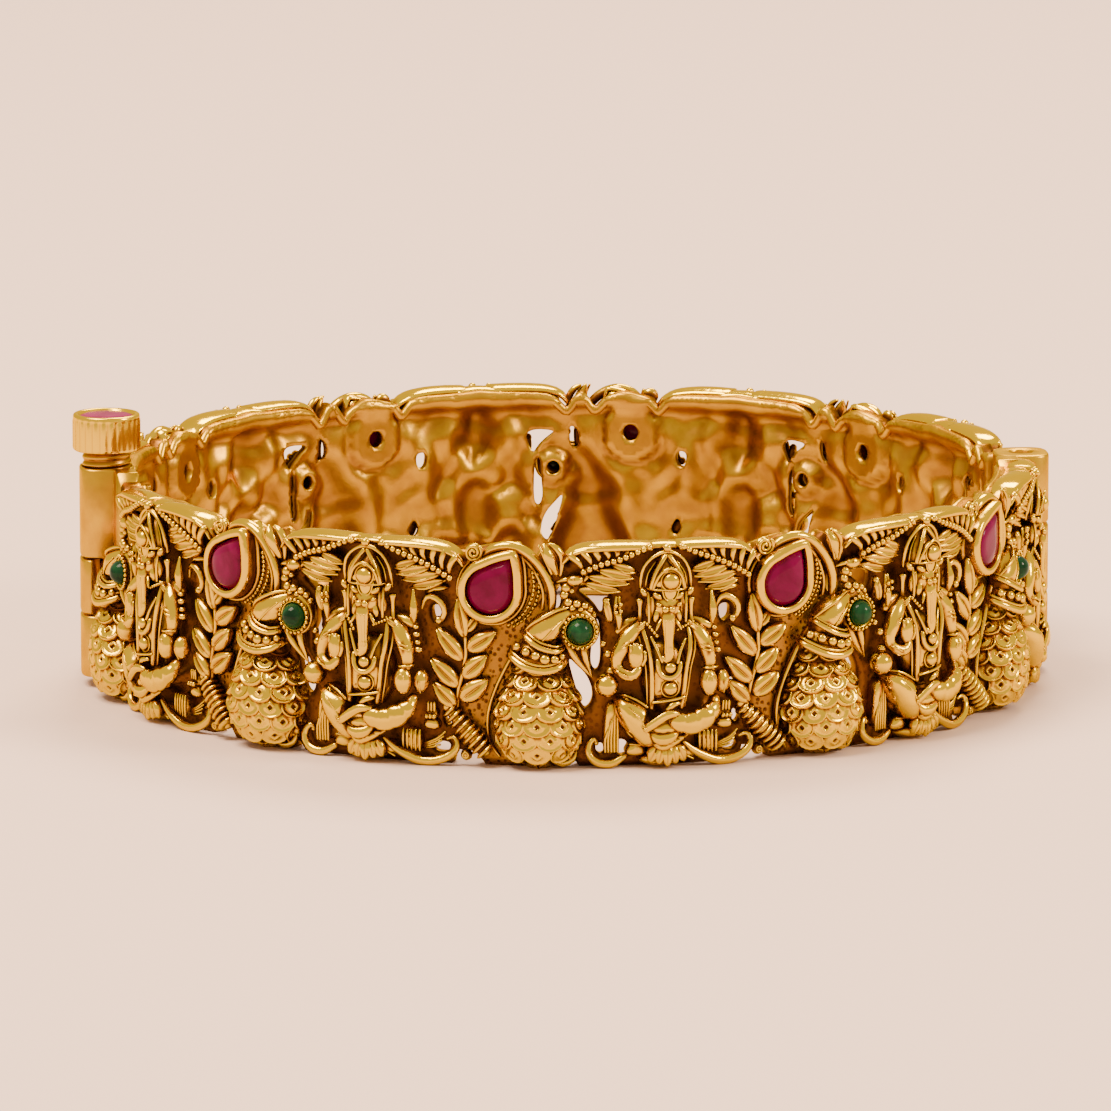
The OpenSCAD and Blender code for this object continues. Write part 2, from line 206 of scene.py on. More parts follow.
# The seated figure, from crown to lotus foot. Rods are [path, thickness, flatness, sides, step], balls
# [place, size, shape, tilt, parts], hoops [place, radius, thickness, axes, height, parts] and pads
# [corners, out, rise, fullness]. Pairs stand on both sides of a middle: [form, middle, places, ...].
figure = {
    "crown": [[1.1, 11.9], [1.2, 12.5], [1.16, 13.1], [0.96, 13.7], [0.66, 14.15], [0.36, 14.5], [0.15, 14.8]],
    "niche": [[-0.82, 3.3, 12.45], [-0.6, 3.5, 13.1], [-0.28, 3.62, 13.6], [0.3, 3.7, 13.92],
              [0.86, 3.62, 13.6], [1.14, 3.5, 13.1], [1.24, 3.3, 12.45]],
    "pendant": [[-0.24, 12.55], [-0.12, 11.95], [0.15, 11.62], [0.5, 11.62], [0.78, 11.95], [0.92, 12.55]],
    "trunk": [[0.2, 3.1, 11.3, 0.26], [0.18, 3.35, 10.8, 0.42], [0.17, 3.45, 10.3, 0.48],
              [0.19, 3.45, 9.5, 0.42], [0.2, 3.45, 8.8, 0.34], [0.22, 3.45, 8.2, 0.38], [0.2, 3.5, 7.85, 0.34],
              [0.0, 3.5, 7.6, 0.25], [-0.16, 3.45, 7.75, 0.15]],
    "pedestal": [[0.34, 0], [0.3, 0.12], [0.2, 0.35], [0.16, 0.9], [0.19, 1.4], [0.3, 1.75], [0.34, 1.9],
                 [0.2, 2.0]],
    "sashes": [[[-1.5, 2.8, 9.95], [-1.3, 3.2, 9.1], [-1.08, 3.4, 8.1], [-0.92, 3.45, 7.0], [-0.88, 3.45, 5.7],
                [-0.9, 3.4, 4.3]],
               [[1.62, 2.8, 9.95], [1.74, 3.2, 9.1], [1.7, 3.4, 8.2], [1.45, 3.45, 6.9], [1.34, 3.45, 5.8],
                [1.12, 3.4, 4.25]]],
    "bracelets": [[-2.62, 2.75, 8.75, 35], [-2.75, 2.75, 8.45, 35], [2.92, 2.75, 8.4, -20],
                  [3.0, 2.75, 8.1, -16], [-2.9, 3.1, 6.7, -30], [3.15, 3.0, 6.95, 5]],
    "rightThigh": [[0.4, 3.4, 3.5, 0.42], [0.92, 3.6, 3.3, 0.66], [1.78, 3.6, 3.2, 0.78],
                   [2.6, 3.45, 3.5, 0.78], [3.25, 3.15, 4.0, 0.62], [3.57, 2.8, 4.65, 0.38]],
    "fans": [[[-2.7, 0.95], [-2.35, 1.7], [-1.88, 1.96], [-1.1, 1.5], [-0.95, 1.0], [-1.73, 0.75]],
             [[1.0, 1.0], [1.2, 1.6], [1.9, 1.5], [2.5, 1.0], [2.2, 0.55], [1.4, 0.6]]],
    "fanHub": [0.1, 1.5],
    "drapes": [[[-3.92, 4.34], [-3.27, 4.75], [-2.95, 4.04], [-2.95, 2.38], [-3.0, 1.05], [-3.69, 1.1],
                [-4.15, 1.69], [-4.06, 2.9]],
               [[2.55, 2.5], [3.9, 2.4], [3.98, 0.93], [3.24, 0.82], [2.5, 1.2]]],
    "pleats": [[-3.95, -3.1, 1.15, 4.3], [2.65, 3.85, 0.95, 2.35]],   # first, last, foot and top
    "pairs": [
        ["rod", 0.18, [[0.75, 2.75, 14.2], [1.28, 2.8, 13.4], [1.42, 2.75, 12.5]], 0.06],   # rib in the halo
        ["ball", 0.24, [[0.72, 3.1, 11.93]], 0.42, (1.05, 0.9, 0.62), 40],   # brow, eye, cheek and ear
        ["ball", 0.24, [[0.68, 3.38, 11.36]], 0.2, (1.1, 0.9, 0.8), 30],
        ["ball", 0.2, [[0.72, 2.95, 10.6]], 0.5, (0.6, 0.75, 1.2), 12],
        ["ball", 0.18, [[0.22, 3.6, 11.06]], 0.25, (1, 1, 1), 0, 12],
        ["ball", 0.2, [[1.6, 2.9, 12.18]], 0.3, (0.8, 1, 1.25), -35],
        ["rod", 0.2, [[0.45, 3.3, 10.3, 0.15], [0.72, 3.45, 9.95, 0.12], [0.85, 3.5, 9.65, 0.04]]],   # tusk
        ["rod", 0.2, [[1.3, 2.95, 12.1], [1.27, 3.1, 11.2], [1.25, 3.05, 10.15]], 0.11],
        ["leaf", 0.2, [[1.2, 2.75, 10.2], [1.02, 2.9, 12.0]], 0.7, 0.3]],
    "rods": [
        [[[-1.5, 2.4, 12.2], [-1.54, 2.6, 13.08], [-1.35, 2.75, 13.9], [-0.91, 2.85, 14.45],
          [-0.3, 2.9, 14.82], [0.21, 2.95, 14.92], [0.7, 2.9, 14.82], [1.31, 2.8, 14.4], [1.71, 2.7, 13.73],
          [1.89, 2.6, 12.95], [1.9, 2.4, 12.2]], 0.14, 1.3],   # halo, and the crown's folds and band
        [[[0.08, 3.0, 14.65], [-0.3, 3.15, 14.1], [-0.68, 3.25, 13.4], [-0.92, 3.15, 12.5]], 0.17],
        [[[0.34, 3.0, 14.65], [0.7, 3.15, 14.1], [1.08, 3.25, 13.4], [1.32, 3.15, 12.5]], 0.17],
        [[[-1.15, 2.9, 12.42], [-0.7, 3.35, 12.4], [-0.14, 3.5, 12.4], [0.8, 3.5, 12.4], [1.2, 3.35, 12.4],
          [1.6, 2.9, 12.42]], 0.08],
        [[[-0.5, 3.35, 7.5], [-0.45, 3.45, 6.9], [-0.2, 3.55, 6.5], [0.2, 3.6, 6.35], [0.6, 3.55, 6.45],
          [0.91, 3.45, 6.8], [1.0, 3.35, 7.3]], 0.2],   # bowl, hem and folds on the chest
        [[[-0.85, 3.45, 4.68], [-0.3, 3.6, 4.76], [0.3, 3.65, 4.84], [0.85, 3.6, 4.93], [1.3, 3.45, 5.02]],
         0.1],
        [[[-0.9, 3.1, 9.1], [-0.55, 3.35, 8.3], [-0.25, 3.5, 7.5]], 0.12],
        [[[1.4, 3.1, 8.9], [1.0, 3.35, 8.1], [0.8, 3.5, 7.4]], 0.12],
        [[[-1.75, 2.4, 9.75, 0.5], [-2.3, 2.6, 9.2, 0.62], [-2.85, 2.75, 8.35, 0.6], [-3.2, 2.8, 7.5, 0.46],
          [-3.1, 2.95, 6.95, 0.38], [-2.6, 3.2, 6.58, 0.42], [-2.1, 3.3, 6.62, 0.38], [-1.85, 3.3, 7.0, 0.3]],
         0, 1, 12, 0.28],   # arms
        [[[-1.8, 2.0, 10.1, 0.4], [-2.5, 2.1, 9.9, 0.45], [-3.0, 2.2, 9.5, 0.36]], 0, 1, 12, 0.28],
        [[[2.2, 2.4, 9.6, 0.5], [2.7, 2.6, 8.9, 0.62], [3.05, 2.75, 8.0, 0.58], [3.2, 2.85, 7.2, 0.45],
          [3.12, 3.0, 6.7, 0.36]], 0, 1, 12, 0.28],
        [[[2.2, 2.0, 10.0, 0.4], [2.9, 2.1, 9.8, 0.45], [3.4, 2.2, 9.6, 0.34]], 0, 1, 12, 0.28],
        [[[-1.55, 3.4, 7.3], [-1.38, 3.45, 7.7], [-1.4, 3.4, 8.15]], 0.13],   # thumb, and what the hands hold
        [[[-3.08, 2.5, 10.6, 0.3], [-3.02, 2.5, 10.1, 0.24], [-3.0, 2.4, 9.5, 0.13]], 0, 1, 10],
        [[[3.45, 2.4, 12.0, 0.12], [3.49, 2.5, 11.3, 0.24], [3.52, 2.55, 10.8, 0.33], [3.52, 2.5, 10.3, 0.28],
          [3.5, 2.4, 9.8, 0.13]], 0, 1, 10],
        [[[3.9, 1.9, 10.7, 0.12], [4.1, 2.0, 11.3, 0.2], [4.6, 2.05, 11.6, 0.25], [5.35, 2.05, 11.2, 0.26],
          [5.6, 2.0, 10.5, 0.24], [5.3, 1.95, 9.95, 0.2]]],
        [[[4.16, 3.0, 6.5], [4.14, 3.35, 5.8], [4.16, 3.05, 5.1]], 0.07],
        [[[-3.1, 2.3, 5.05], [-2.75, 2.75, 5.12], [-1.94, 3.1, 4.85], [-1.2, 3.3, 4.35]], 0.1],   # legs
        [[[-1.4, 3.7, 2.9, 0.28], [-0.77, 3.95, 3.36, 0.3], [-0.19, 4.05, 3.77, 0.3], [0.26, 4.0, 3.92, 0.27],
          [0.75, 3.8, 3.88, 0.2]], 0, 1, 12],
        [[[0.15, 3.6, 4.2, 0.2], [0.45, 3.7, 4.5, 0.2], [0.9, 3.5, 4.6, 0.15]]],
        [[[-0.98, 3.3, 2.6, 0.22], [-0.59, 3.55, 2.24, 0.36], [-0.09, 3.65, 2.15, 0.42],
          [0.43, 3.55, 2.32, 0.36], [0.85, 3.3, 2.75, 0.2]], 0, 1, 12],
        [[[-0.75, 3.1, 1.88, 0.18], [-0.4, 3.25, 1.66, 0.26], [0.0, 3.3, 1.6, 0.28], [0.8, 3.2, 1.95, 0.24],
          [1.6, 3.0, 2.4, 0.15]], 0, 1, 12],
        [[[-4.5, 1.9, 1.75, 0.14], [-4.72, 2.0, 1.97, 0.19], [-5.08, 2.1, 1.6, 0.25], [-5.06, 2.2, 0.95, 0.28],
          [-4.45, 2.3, 0.42, 0.3], [-3.5, 2.3, 0.34, 0.3], [-2.6, 2.2, 0.8, 0.2]], 0, 1, 10, 0.22],   # scrolls
        [[[1.4, 2.7, 1.75, 0.16], [2.06, 2.65, 1.2, 0.24], [2.86, 2.6, 0.74, 0.3], [3.83, 2.5, 0.36, 0.32],
          [4.9, 2.4, 0.34, 0.32], [5.85, 2.3, 0.66, 0.3], [6.42, 2.15, 1.16, 0.27], [6.5, 2.05, 1.66, 0.23],
          [6.2, 1.95, 1.95, 0.17], [5.75, 1.9, 1.8, 0.11]], 0, 1, 10, 0.22]],
    "balls": [
        [[0.19, 3.0, 15.2], 0.31], [[0.34, 3.55, 13.0], 0.56, (1, 0.95, 1), 0, 20],   # crown and head
        [[0.22, 2.7, 11.15], 1.05, (0.95, 0.8, 1.1), 0, 22],
        [[0.3, 3.5, 7.05], 0.4, (1, 1, 1), 0, 18], [[0.32, 3.4, 5.6], 0.5, (1, 0.9, 1), 0, 18],   # body
        [[0.25, 2.0, 6.3], 1.0, (1.8, 1.3, 2.6), 0, 26], [[-1.95, 3.25, 7.85], 0.95, (0.58, 0.42, 1.0), 0, 18],
        [[-3.27, 2.75, 11.26], 0.17, (1, 1, 1), 0, 10], [[-3.27, 2.75, 10.81], 0.17, (1, 1, 1), 0, 10],
        [[-2.93, 2.75, 10.9], 0.17, (1, 1, 1), 0, 10], [[-2.93, 2.75, 11.35], 0.17, (1, 1, 1), 0, 10],
        [[-3.85, 2.1, 11.5], 0.3], [[-3.9, 2.1, 10.7], 0.24], [[5.15, 1.95, 9.95], 0.3],
        [[3.65, 2.45, 9.5], 0.24, (1, 1, 0.75)], [[3.71, 2.45, 9.0], 0.3, (1, 1, 0.75)],
        [[3.776, 2.45, 8.45], 0.26, (1, 1, 0.75)], [[3.836, 2.45, 7.95], 0.34, (1, 1, 0.75)],
        [[-3.88, 2.75, 5.82], 0.82, (1, 1, 1), 0, 20],   # beside the figure
        [[-3.79, 2.5, 7.94], 0.3, (1, 1, 1), 0, 12],
        [[-4.1, 2.3, 8.6], 0.24, (1, 1, 1), 0, 12], [[-3.6, 2.5, 6.75], 0.34, (1, 1, 1), 0, 12],
        [[7.11, 1.9, 0.78], 0.42, (1, 1, 1), 0, 12], [[-4.55, 1.9, 1.7], 0.2, (1, 1, 1), 0, 12],
        [[3.0, 3.2, 5.9], 1.0, (0.62, 0.7, 1.0), 0, 20], [[4.1, 2.7, 5.85], 1.0, (0.55, 0.65, 0.85), 0, 18],
        [[0.05, 2.9, 2.8], 1.0, (1.25, 0.8, 0.75), 0, 20],
        [[-0.42, 3.35, 1.83], 0.3, (1.15, 0.6, 0.75), 12, 10],
        [[0.31, 3.4, 1.84], 0.3, (1.15, 0.6, 0.75), 12, 10],
        [[1.05, 3.2, 2.15], 0.3, (1.15, 0.6, 0.75), 12, 10]],
    "hoops": [
        [[0.19, 2.95, 14.9], 0.2, 0.08], [[0.34, 3.5, 13.0], 0.66, 0.07, None, 1, 20],
        [[0.32, 3.38, 5.6], 0.6, 0.07, None, 1, 20], [[-1.93, 3.55, 7.75], 0.24, 0.06, None, 1.3],
        [[2.98, 3.8, 6.15], 0.24, 0.06, None, 1.1], [[7.11, 2.25, 0.78], 0.2, 0.07]],
    "pads": [
        [[[-1.05, 4.75], [0.2, 4.8], [1.3, 4.9], [1.45, 6.0], [1.5, 7.0], [0.9, 7.5], [-0.5, 7.5], [-1.0, 7.0],
          [-1.05, 5.9]], 2.15, 1.2, 4.5],   # apron
        [[[3.9, 11.5], [4.3, 12.4], [5.2, 12.6], [6.0, 12.2], [5.4, 11.9], [4.7, 11.9]], 1.6, 0.6, 2],
        [[[-3.4, 4.3], [-3.35, 5.0], [-2.8, 5.15], [-1.94, 4.85], [-1.05, 4.4], [-1.1, 3.8], [-1.2, 3.3],
          [-1.0, 2.65], [-0.6, 2.2], [-0.5, 1.4], [-1.26, 1.35], [-2.0, 1.95], [-2.75, 2.7], [-3.2, 3.6]],
         2.2, 1.75, 2.4],   # left thigh, and the base
        [[[-1.95, 0.6], [-1.02, 0.12], [-0.13, 0.0], [1.07, 0.22], [1.65, 0.72], [1.07, 1.3], [0, 1.1],
          [-1.02, 1.15]], 1.6, 1.5, 2.2],
        [[[4.0, 3.2], [5.15, 3.2], [5.3, 2.35], [3.95, 2.35]], 1.6, 0.6],   # plinth
        [[[4.1, 3.9], [5.1, 3.9], [5.1, 3.1], [4.1, 3.1]], 1.5, 0.55]],
}


def castForms(c, forms):   # the listed forms, each as its row says
    for row in forms.get("rods", []):
        c.rod(*row)
    for row in forms.get("balls", []):
        c.ball(*row)
    for row in forms.get("hoops", []):
        c.hoop(*row)
    for row in forms.get("pads", []):
        c.pad(*row)


def castPair(c, side, kind, middle, places, *rest):   # a listed form on one side of its middle
    places = [[middle + p[0] * side, *p[1:]] for p in places]
    if kind == "rod":
        c.rod(places, *rest)
    elif kind == "leaf":
        c.leaf(*places, *rest)
    else:
        size, shape, tilt, *parts = rest
        c.ball(places[0], size, shape, tilt * side, *parts)


def figureHead(c, f):
    c.turned([0.18, 2.35, 0], f["crown"], squash=0.85, parts=24)
    c.rod(f["niche"], 0.1)
    c.pad([[a, u] for a, o, u in f["niche"]], 2.9, 0.6, 5)
    c.pad(f["pendant"], 3.05, 0.4, 4)
    c.rod([[a, 3.4, u] for a, u in f["pendant"]], 0.06)
    for side in (-1, 1):
        for row in f["pairs"]:
            castPair(c, side, *row)
        c.turned([0.2 + 1.77 * side, 2.45, 9.72], f["pedestal"], parts=12)
        for k in range(3):   # collar on the shoulder
            c.rod([[0.2 + (1.5 + 0.07 * k) * side, 2.95, 10.12 - 0.17 * k],
                   [0.2 + (2.15 + 0.06 * k) * side, 2.85, 9.66 - 0.17 * k]], 0.095)
    c.rod(f["trunk"], sides=14, step=0.22)
    for shift in (-0.22, 0, 0.22):   # fluting down the trunk
        c.rod([[a + shift * r / 0.46, o + math.sqrt(max(r * r - (shift * r / 0.46) ** 2, 0.01)) - 0.04, u]
               for a, o, u, r in f["trunk"][2:6]], 0.075)


def figureBody(c, f):
    for sash in f["sashes"]:
        inward = 1 if sash[0][0] < 0 else -1
        for shift, thick in ((0, 0.19), (-0.4, 0.09)):
            c.rod([[a + shift * inward * (0.6 + 0.4 * min(1, (u - 4) / 4)), o - 0.22 - 0.45 * abs(shift), u]
                   for a, o, u in sash], thick, 1.2)
    c.string([[-1.15, 3.0, 10.0], [-0.55, 3.3, 9.25]], 0.15, 0.25)
    c.string([[0.85, 3.2, 9.6], [2.0, 2.95, 10.1]], 0.12, 0.22)
    for a, o, u, lean in f["bracelets"]:
        x, y = math.cos(math.radians(lean)), math.sin(math.radians(lean))
        c.rod([[a + s * x, o + rise, u + s * y]
               for s, rise in ((-0.55, 0), (-0.3, 0.5), (0.3, 0.5), (0.55, 0))], 0.09)
    for k in range(4):   # fingers of the raised palm
        c.rod([[-2.32 + 0.22 * k, 3.4, 8.2], [-2.34 + 0.23 * k, 3.35, 8.72 - 0.08 * abs(k - 1.5)]], 0.12)
    for shift in (-0.13, 0.13):   # what the raised hand holds
        c.rod([[-3.1 + shift, 2.4, 10.3, 0.15], [-3.12 + shift, 2.5, 11.1, 0.15],
               [-3.1 + shift * 0.8, 2.4, 11.8, 0.09]])
    c.leaf([-3.55, 2.0, 9.9], [-3.95, 2.1, 11.8], 0.8)
    for k in range(5):   # folds of the cloth on the left leg
        c.rod([[-2.95 + 0.1 * k, 3.1, 4.75 + 0.05 * k], [-2.45 + 0.16 * k, 3.75, 4.35 - 0.12 * k],
               [-1.8 + 0.1 * k, 3.9, 3.75 - 0.2 * k]], 0.06)
    thigh = curve(f["rightThigh"], 0.1)
    thigh[:, 3] *= 1 - 0.09 * np.abs(np.cos(np.arange(len(thigh)) * 0.37)) ** 8
    c.rod(thigh.tolist(), sides=18, step=0.12)
    for k in range(4):   # toes
        c.ball([-1.45 - 0.07 * k, 3.95 - 0.14 * k, 2.95 - 0.17 * k], 0.14, parts=8)


def figureFoot(c, f):
    hub = np.array(f["fanHub"])
    for corners in f["fans"]:
        c.pad(corners, 1.9, 0.75)
        for k in range(4):
            edge = np.array(corners[(1 + k) % 6 if corners[0][0] < 0 else (k + 2) % 6])
            mid = (edge + hub) / 2
            c.rod([[mid[0], 2.6, mid[1]], [edge[0] * 0.97, 2.62, edge[1]]], 0.07)
    for k in range(-2, 3):   # petals under the figure
        tip = [0.2 + k * 0.62, 3.1 - 0.1 * abs(k), 0.12 + 0.16 * abs(k)]
        c.leaf([0.2 + k * 0.32, 2.95, 1.75], tip, 0.95, lift=0.45)
    for corners, (first, last, foot, top) in zip(f["drapes"], f["pleats"]):
        c.pad(corners, 1.5, 0.85, 5)
        slant = 1 if first < 0 else 0
        for k in range(5):   # hanging pleats
            a, high = first + (last - first) * k / 4, top - 0.35 * (4 - k) * slant
            c.rod([[a + 0.3 * slant * (1 - k / 4), 2.3, high], [a, 2.36, (high + foot) / 2],
                   [a, 2.3, foot]], 0.1)
    for k in range(3):   # plinth
        c.rod([[4.42 + 0.22 * k, 2.1, 3.7], [4.42 + 0.22 * k, 2.15, 4.25]], 0.12)
        c.ball([4.35 + 0.27 * k, 2.3, 3.36], 0.19, parts=10)
    for k in range(4):
        c.rod([[4.1, 1.9, 1.1 + 0.1 * k], [4.7 + 0.1 * k, 2.0, 1.2 + 0.2 * k],
               [5.2 + 0.12 * k, 1.9, 1.35 + 0.3 * k]], 0.08)


def seatedFigure():
    c = Casting()
    for making in (castForms, figureHead, figureBody, figureFoot):
        making(c, figure)
    return c


# The leafy canopy over a figure, left and right of its crown
canopy = {
    "strings": [[[-5.45, 2.6, 13.6], [-4.28, 2.75, 14.1], [-3.15, 2.85, 14.4], [-2.0, 2.9, 14.85],
                 [-1.0, 2.85, 15.25]],
                [[1.35, 2.85, 15.2], [2.33, 2.85, 14.75], [3.35, 2.85, 14.4], [4.77, 2.75, 13.8],
                 [6.1, 2.6, 13.0]]],
    "tops": [[[-6.85, 1.5, 14.2, 0.2], [-6.3, 1.7, 14.8, 0.28], [-5.4, 1.75, 15.1, 0.33],
              [-4.0, 1.8, 15.2, 0.36], [-2.4, 1.85, 15.22, 0.36], [-0.9, 1.9, 15.2, 0.34]],
             [[1.2, 1.9, 15.2, 0.34], [2.6, 1.85, 15.22, 0.36], [4.2, 1.8, 15.16, 0.36],
              [5.6, 1.7, 14.95, 0.34], [6.5, 1.6, 14.5, 0.26], [6.95, 1.5, 13.9, 0.18]]],
    "bead": 0.24, "beadGap": 0.45,
    "feathers": [[[3.6, 2.35, 14.1], [1.75, 2.3, 13.55], 0.75], [[4.5, 2.4, 13.7], [2.0, 2.35, 13.15], 0.85],
                 [[5.2, 2.3, 13.25], [2.3, 2.2, 12.75], 0.85], [[5.4, 2.1, 12.75], [2.9, 2.0, 12.2], 0.8]],
    "rightShift": 0.25, "ridge": [[[-1.6, 1.5, 15.1], [0.15, 1.7, 15.2], [1.8, 1.5, 15.1]], 0.3, 3.0, 12],
}


def leafyCanopy():
    c = Casting()
    for side, path, top in zip((-1, 1), canopy["strings"], canopy["tops"]):
        c.string(path, canopy["bead"], canopy["beadGap"], parts=10)
        c.rod([[a, o - 0.28, u] for a, o, u in path], 0.15)
        c.rod(top, flat=3.2, sides=14)
        c.rod([[a, o + 0.9, u - 0.06, r * 0.5] for a, o, u, r in top], flat=1.2)
        mid = curve(path, 0.1)
        rim = curve([t[:3] for t in top], 0.1)
        if side > 0:
            mid, rim = mid[::-1], rim[::-1]
        for k in range(7):   # ribs up to the edge
            a = mid[int((0.02 + 0.12 * k) * (len(mid) - 1))]
            b = rim[int(min(0.14 + 0.125 * k, 1) * (len(rim) - 1))]
            half = [(a[0] + b[0]) / 2 - 0.12 * side, 2.6, (a[2] + b[2]) / 2, 0.21]
            c.rod([[a[0], a[1] - 0.3, a[2] + 0.1, 0.14], half, [b[0], 2.5, b[2] - 0.12, 0.28]], flat=1.2)
        for feather in canopy["feathers"]:
            shift = canopy["rightShift"] if side > 0 else 0
            base, tip = ([side * a + shift, o, u] for a, o, u in feather[:2])
            c.leaf(base, tip, feather[2], lift=0.5, vein=0.3, parts=12)
            c.rod([base, [(base[0] + tip[0]) / 2, base[1] + 0.35, (base[2] + tip[2]) / 2 - 0.3],
                   [tip[0], tip[1] + 0.1, tip[2] - 0.1]], 0.1)
    c.rod(*canopy["ridge"])
    return c


# The leaf spray and rope shell to the right of a figure
spray = {
    "stem": [[6.35, 1.8, 3.8, 0.2], [6.61, 1.95, 5.5, 0.19], [7.0, 2.0, 6.9, 0.18], [7.1, 2.05, 8.4, 0.16],
             [6.95, 2.0, 9.7, 0.13], [6.65, 1.9, 11.0, 0.08]],
    "leaves": [[[7.15, 2.0, 7.95], [9.3, 1.95, 9.35], 1.3], [[6.85, 2.0, 6.05], [8.65, 1.95, 7.75], 1.3],
               [[6.65, 2.0, 4.5], [8.75, 1.95, 6.05], 1.4], [[6.95, 2.0, 7.2], [4.95, 1.95, 9.5], 1.25],
               [[6.65, 2.0, 5.4], [4.5, 1.95, 7.4], 1.25], [[6.45, 2.0, 4.0], [4.7, 1.95, 5.75], 1.2],
               [[7.05, 2.0, 8.75], [6.55, 1.95, 11.7], 1.15], [[7.1, 2.0, 9.2], [8.0, 1.8, 10.4], 0.8]],
    "rope": [[5.95, 1.9, 3.75], [8.5, 2.2, 1.15]], "ridges": 9, "wider": 1.12,
    "knot": [[5.75, 2.0, 4.05], 0.35],
}


def leafSpray():
    c = Casting()
    c.rod(spray["stem"])
    for base, tip, width in spray["leaves"]:
        c.leaf(base, tip, width * spray["wider"], lift=0.6, vein=0.36, parts=12)
        base, tip = np.array(base), np.array(tip)
        c.rod([base + (tip - base) * 0.2 + [0, 0.26, 0], base + (tip - base) * 0.55 + [0, 0.3, 0],
               base + (tip - base) * 0.95 + [0, 0.05, 0]], 0.055)
    a, b = (np.array(p) for p in spray["rope"])
    lean = math.degrees(math.atan2(b[2] - a[2], b[0] - a[0]))
    for k in range(spray["ridges"]):
        s = k / (spray["ridges"] - 1)
        r = 0.52 + 0.36 * math.sin(0.35 + 1.9 * s)
        c.ball(a + (b - a) * s, 1, (0.22, 0.95 * r, r), tilt=lean, parts=14)
    c.rod([[*a, 0.34], [*((a + b) / 2), 0.6], [*b, 0.42]], sides=12, step=0.25)
    c.ball(*spray["knot"])
    return c


# The rim, arched scroll and stippled curl round a ruby
ruby = {
    "at": [8.87, 2.5, 12.2], "half": 1.62, "tip": 2.62, "lean": -32.0,
    "rim": [[-0.27, -1.0], [-0.27, 0.86], [-0.24, 0.92], [-0.05, 0.95], [0.14, 0.92], [0.25, 0.82], [0.3, 0.6],
            [0.31, -0.2], [0.34, -1.0]],
    "arch": [[8.2, 1.7, 14.35, 0.2], [8.9, 1.85, 14.95, 0.3], [10.1, 1.9, 15.2, 0.36],
             [11.4, 1.95, 14.75, 0.36], [12.5, 1.95, 13.6, 0.34], [13.08, 1.95, 12.3, 0.32],
             [13.12, 1.9, 11.1, 0.27], [12.85, 1.85, 10.3, 0.2]],
    "innerArch": [[8.9, 1.7, 14.4], [10.0, 1.8, 14.75], [11.2, 1.85, 14.3], [12.05, 1.85, 13.2],
                  [12.5, 1.8, 12.0], [12.45, 1.75, 10.9]],
    "bud": [[13.4, 2.0, 13.4, 0.22], [13.0, 2.25, 14.3, 0.42], [12.75, 2.3, 14.9, 0.38],
            [12.55, 2.2, 15.35, 0.14]],
    "budEdge": [[13.72, 1.8, 13.2, 0.16], [13.8, 2.0, 14.4, 0.26], [13.4, 2.05, 15.1, 0.25],
                [12.95, 2.05, 15.38, 0.12]],
    "spiral": [7.62, 2.05, 14.72], "spiralSize": (0.1, 0.62), "spiralThick": 0.14,
    "curlTo": [[12.85, 1.8, 10.4, 0.16], [12.1, 1.85, 9.7, 0.16], [10.9, 1.85, 8.5, 0.16],
               [9.8, 1.85, 6.7, 0.16], [8.95, 1.8, 4.8, 0.15], [8.6, 1.8, 3.2, 0.15], [8.75, 1.75, 1.7, 0.14],
               [9.4, 1.7, 0.7, 0.12]],
    "curlEnd": [11.0, 1.7, 12.4],
    "grains": [[11.75, 1.9, 13.4], [11.85, 1.9, 12.4], [11.6, 1.9, 11.4], [11.0, 1.9, 10.45],
               [10.1, 1.9, 9.8]],
}


def pear(half, tip, parts=48):   # a pear's outline with its tip up
    lean = math.acos(half / tip)
    a = np.linspace(math.pi / 2 + lean, 2.5 * math.pi - lean, parts)
    belly = np.stack([half * np.cos(a), half * np.sin(a)], 1)
    s = np.linspace(0, 1, 10)[1:-1, None]
    bulge = np.sin(s * math.pi) * 0.05 * half
    up = np.array([[0, tip]])
    x, y = math.sin(lean), math.cos(lean)
    right = belly[-1] + (up - belly[-1]) * s + bulge * np.array([x, y])
    left = up + (belly[0] - up) * s + bulge * np.array([-x, y])
    return np.vstack([belly, right, up - [0, 0.05], left])


def rubyPlace(flat, out):   # an outline turned to the ruby's lean and set on the band
    t = math.radians(ruby["lean"])
    x = ruby["at"][0] + flat[:, 0] * math.cos(t) - flat[:, 1] * math.sin(t)
    z = ruby["at"][2] + flat[:, 0] * math.sin(t) + flat[:, 1] * math.cos(t)
    return np.stack([x, np.full(len(x), out), z], 1)


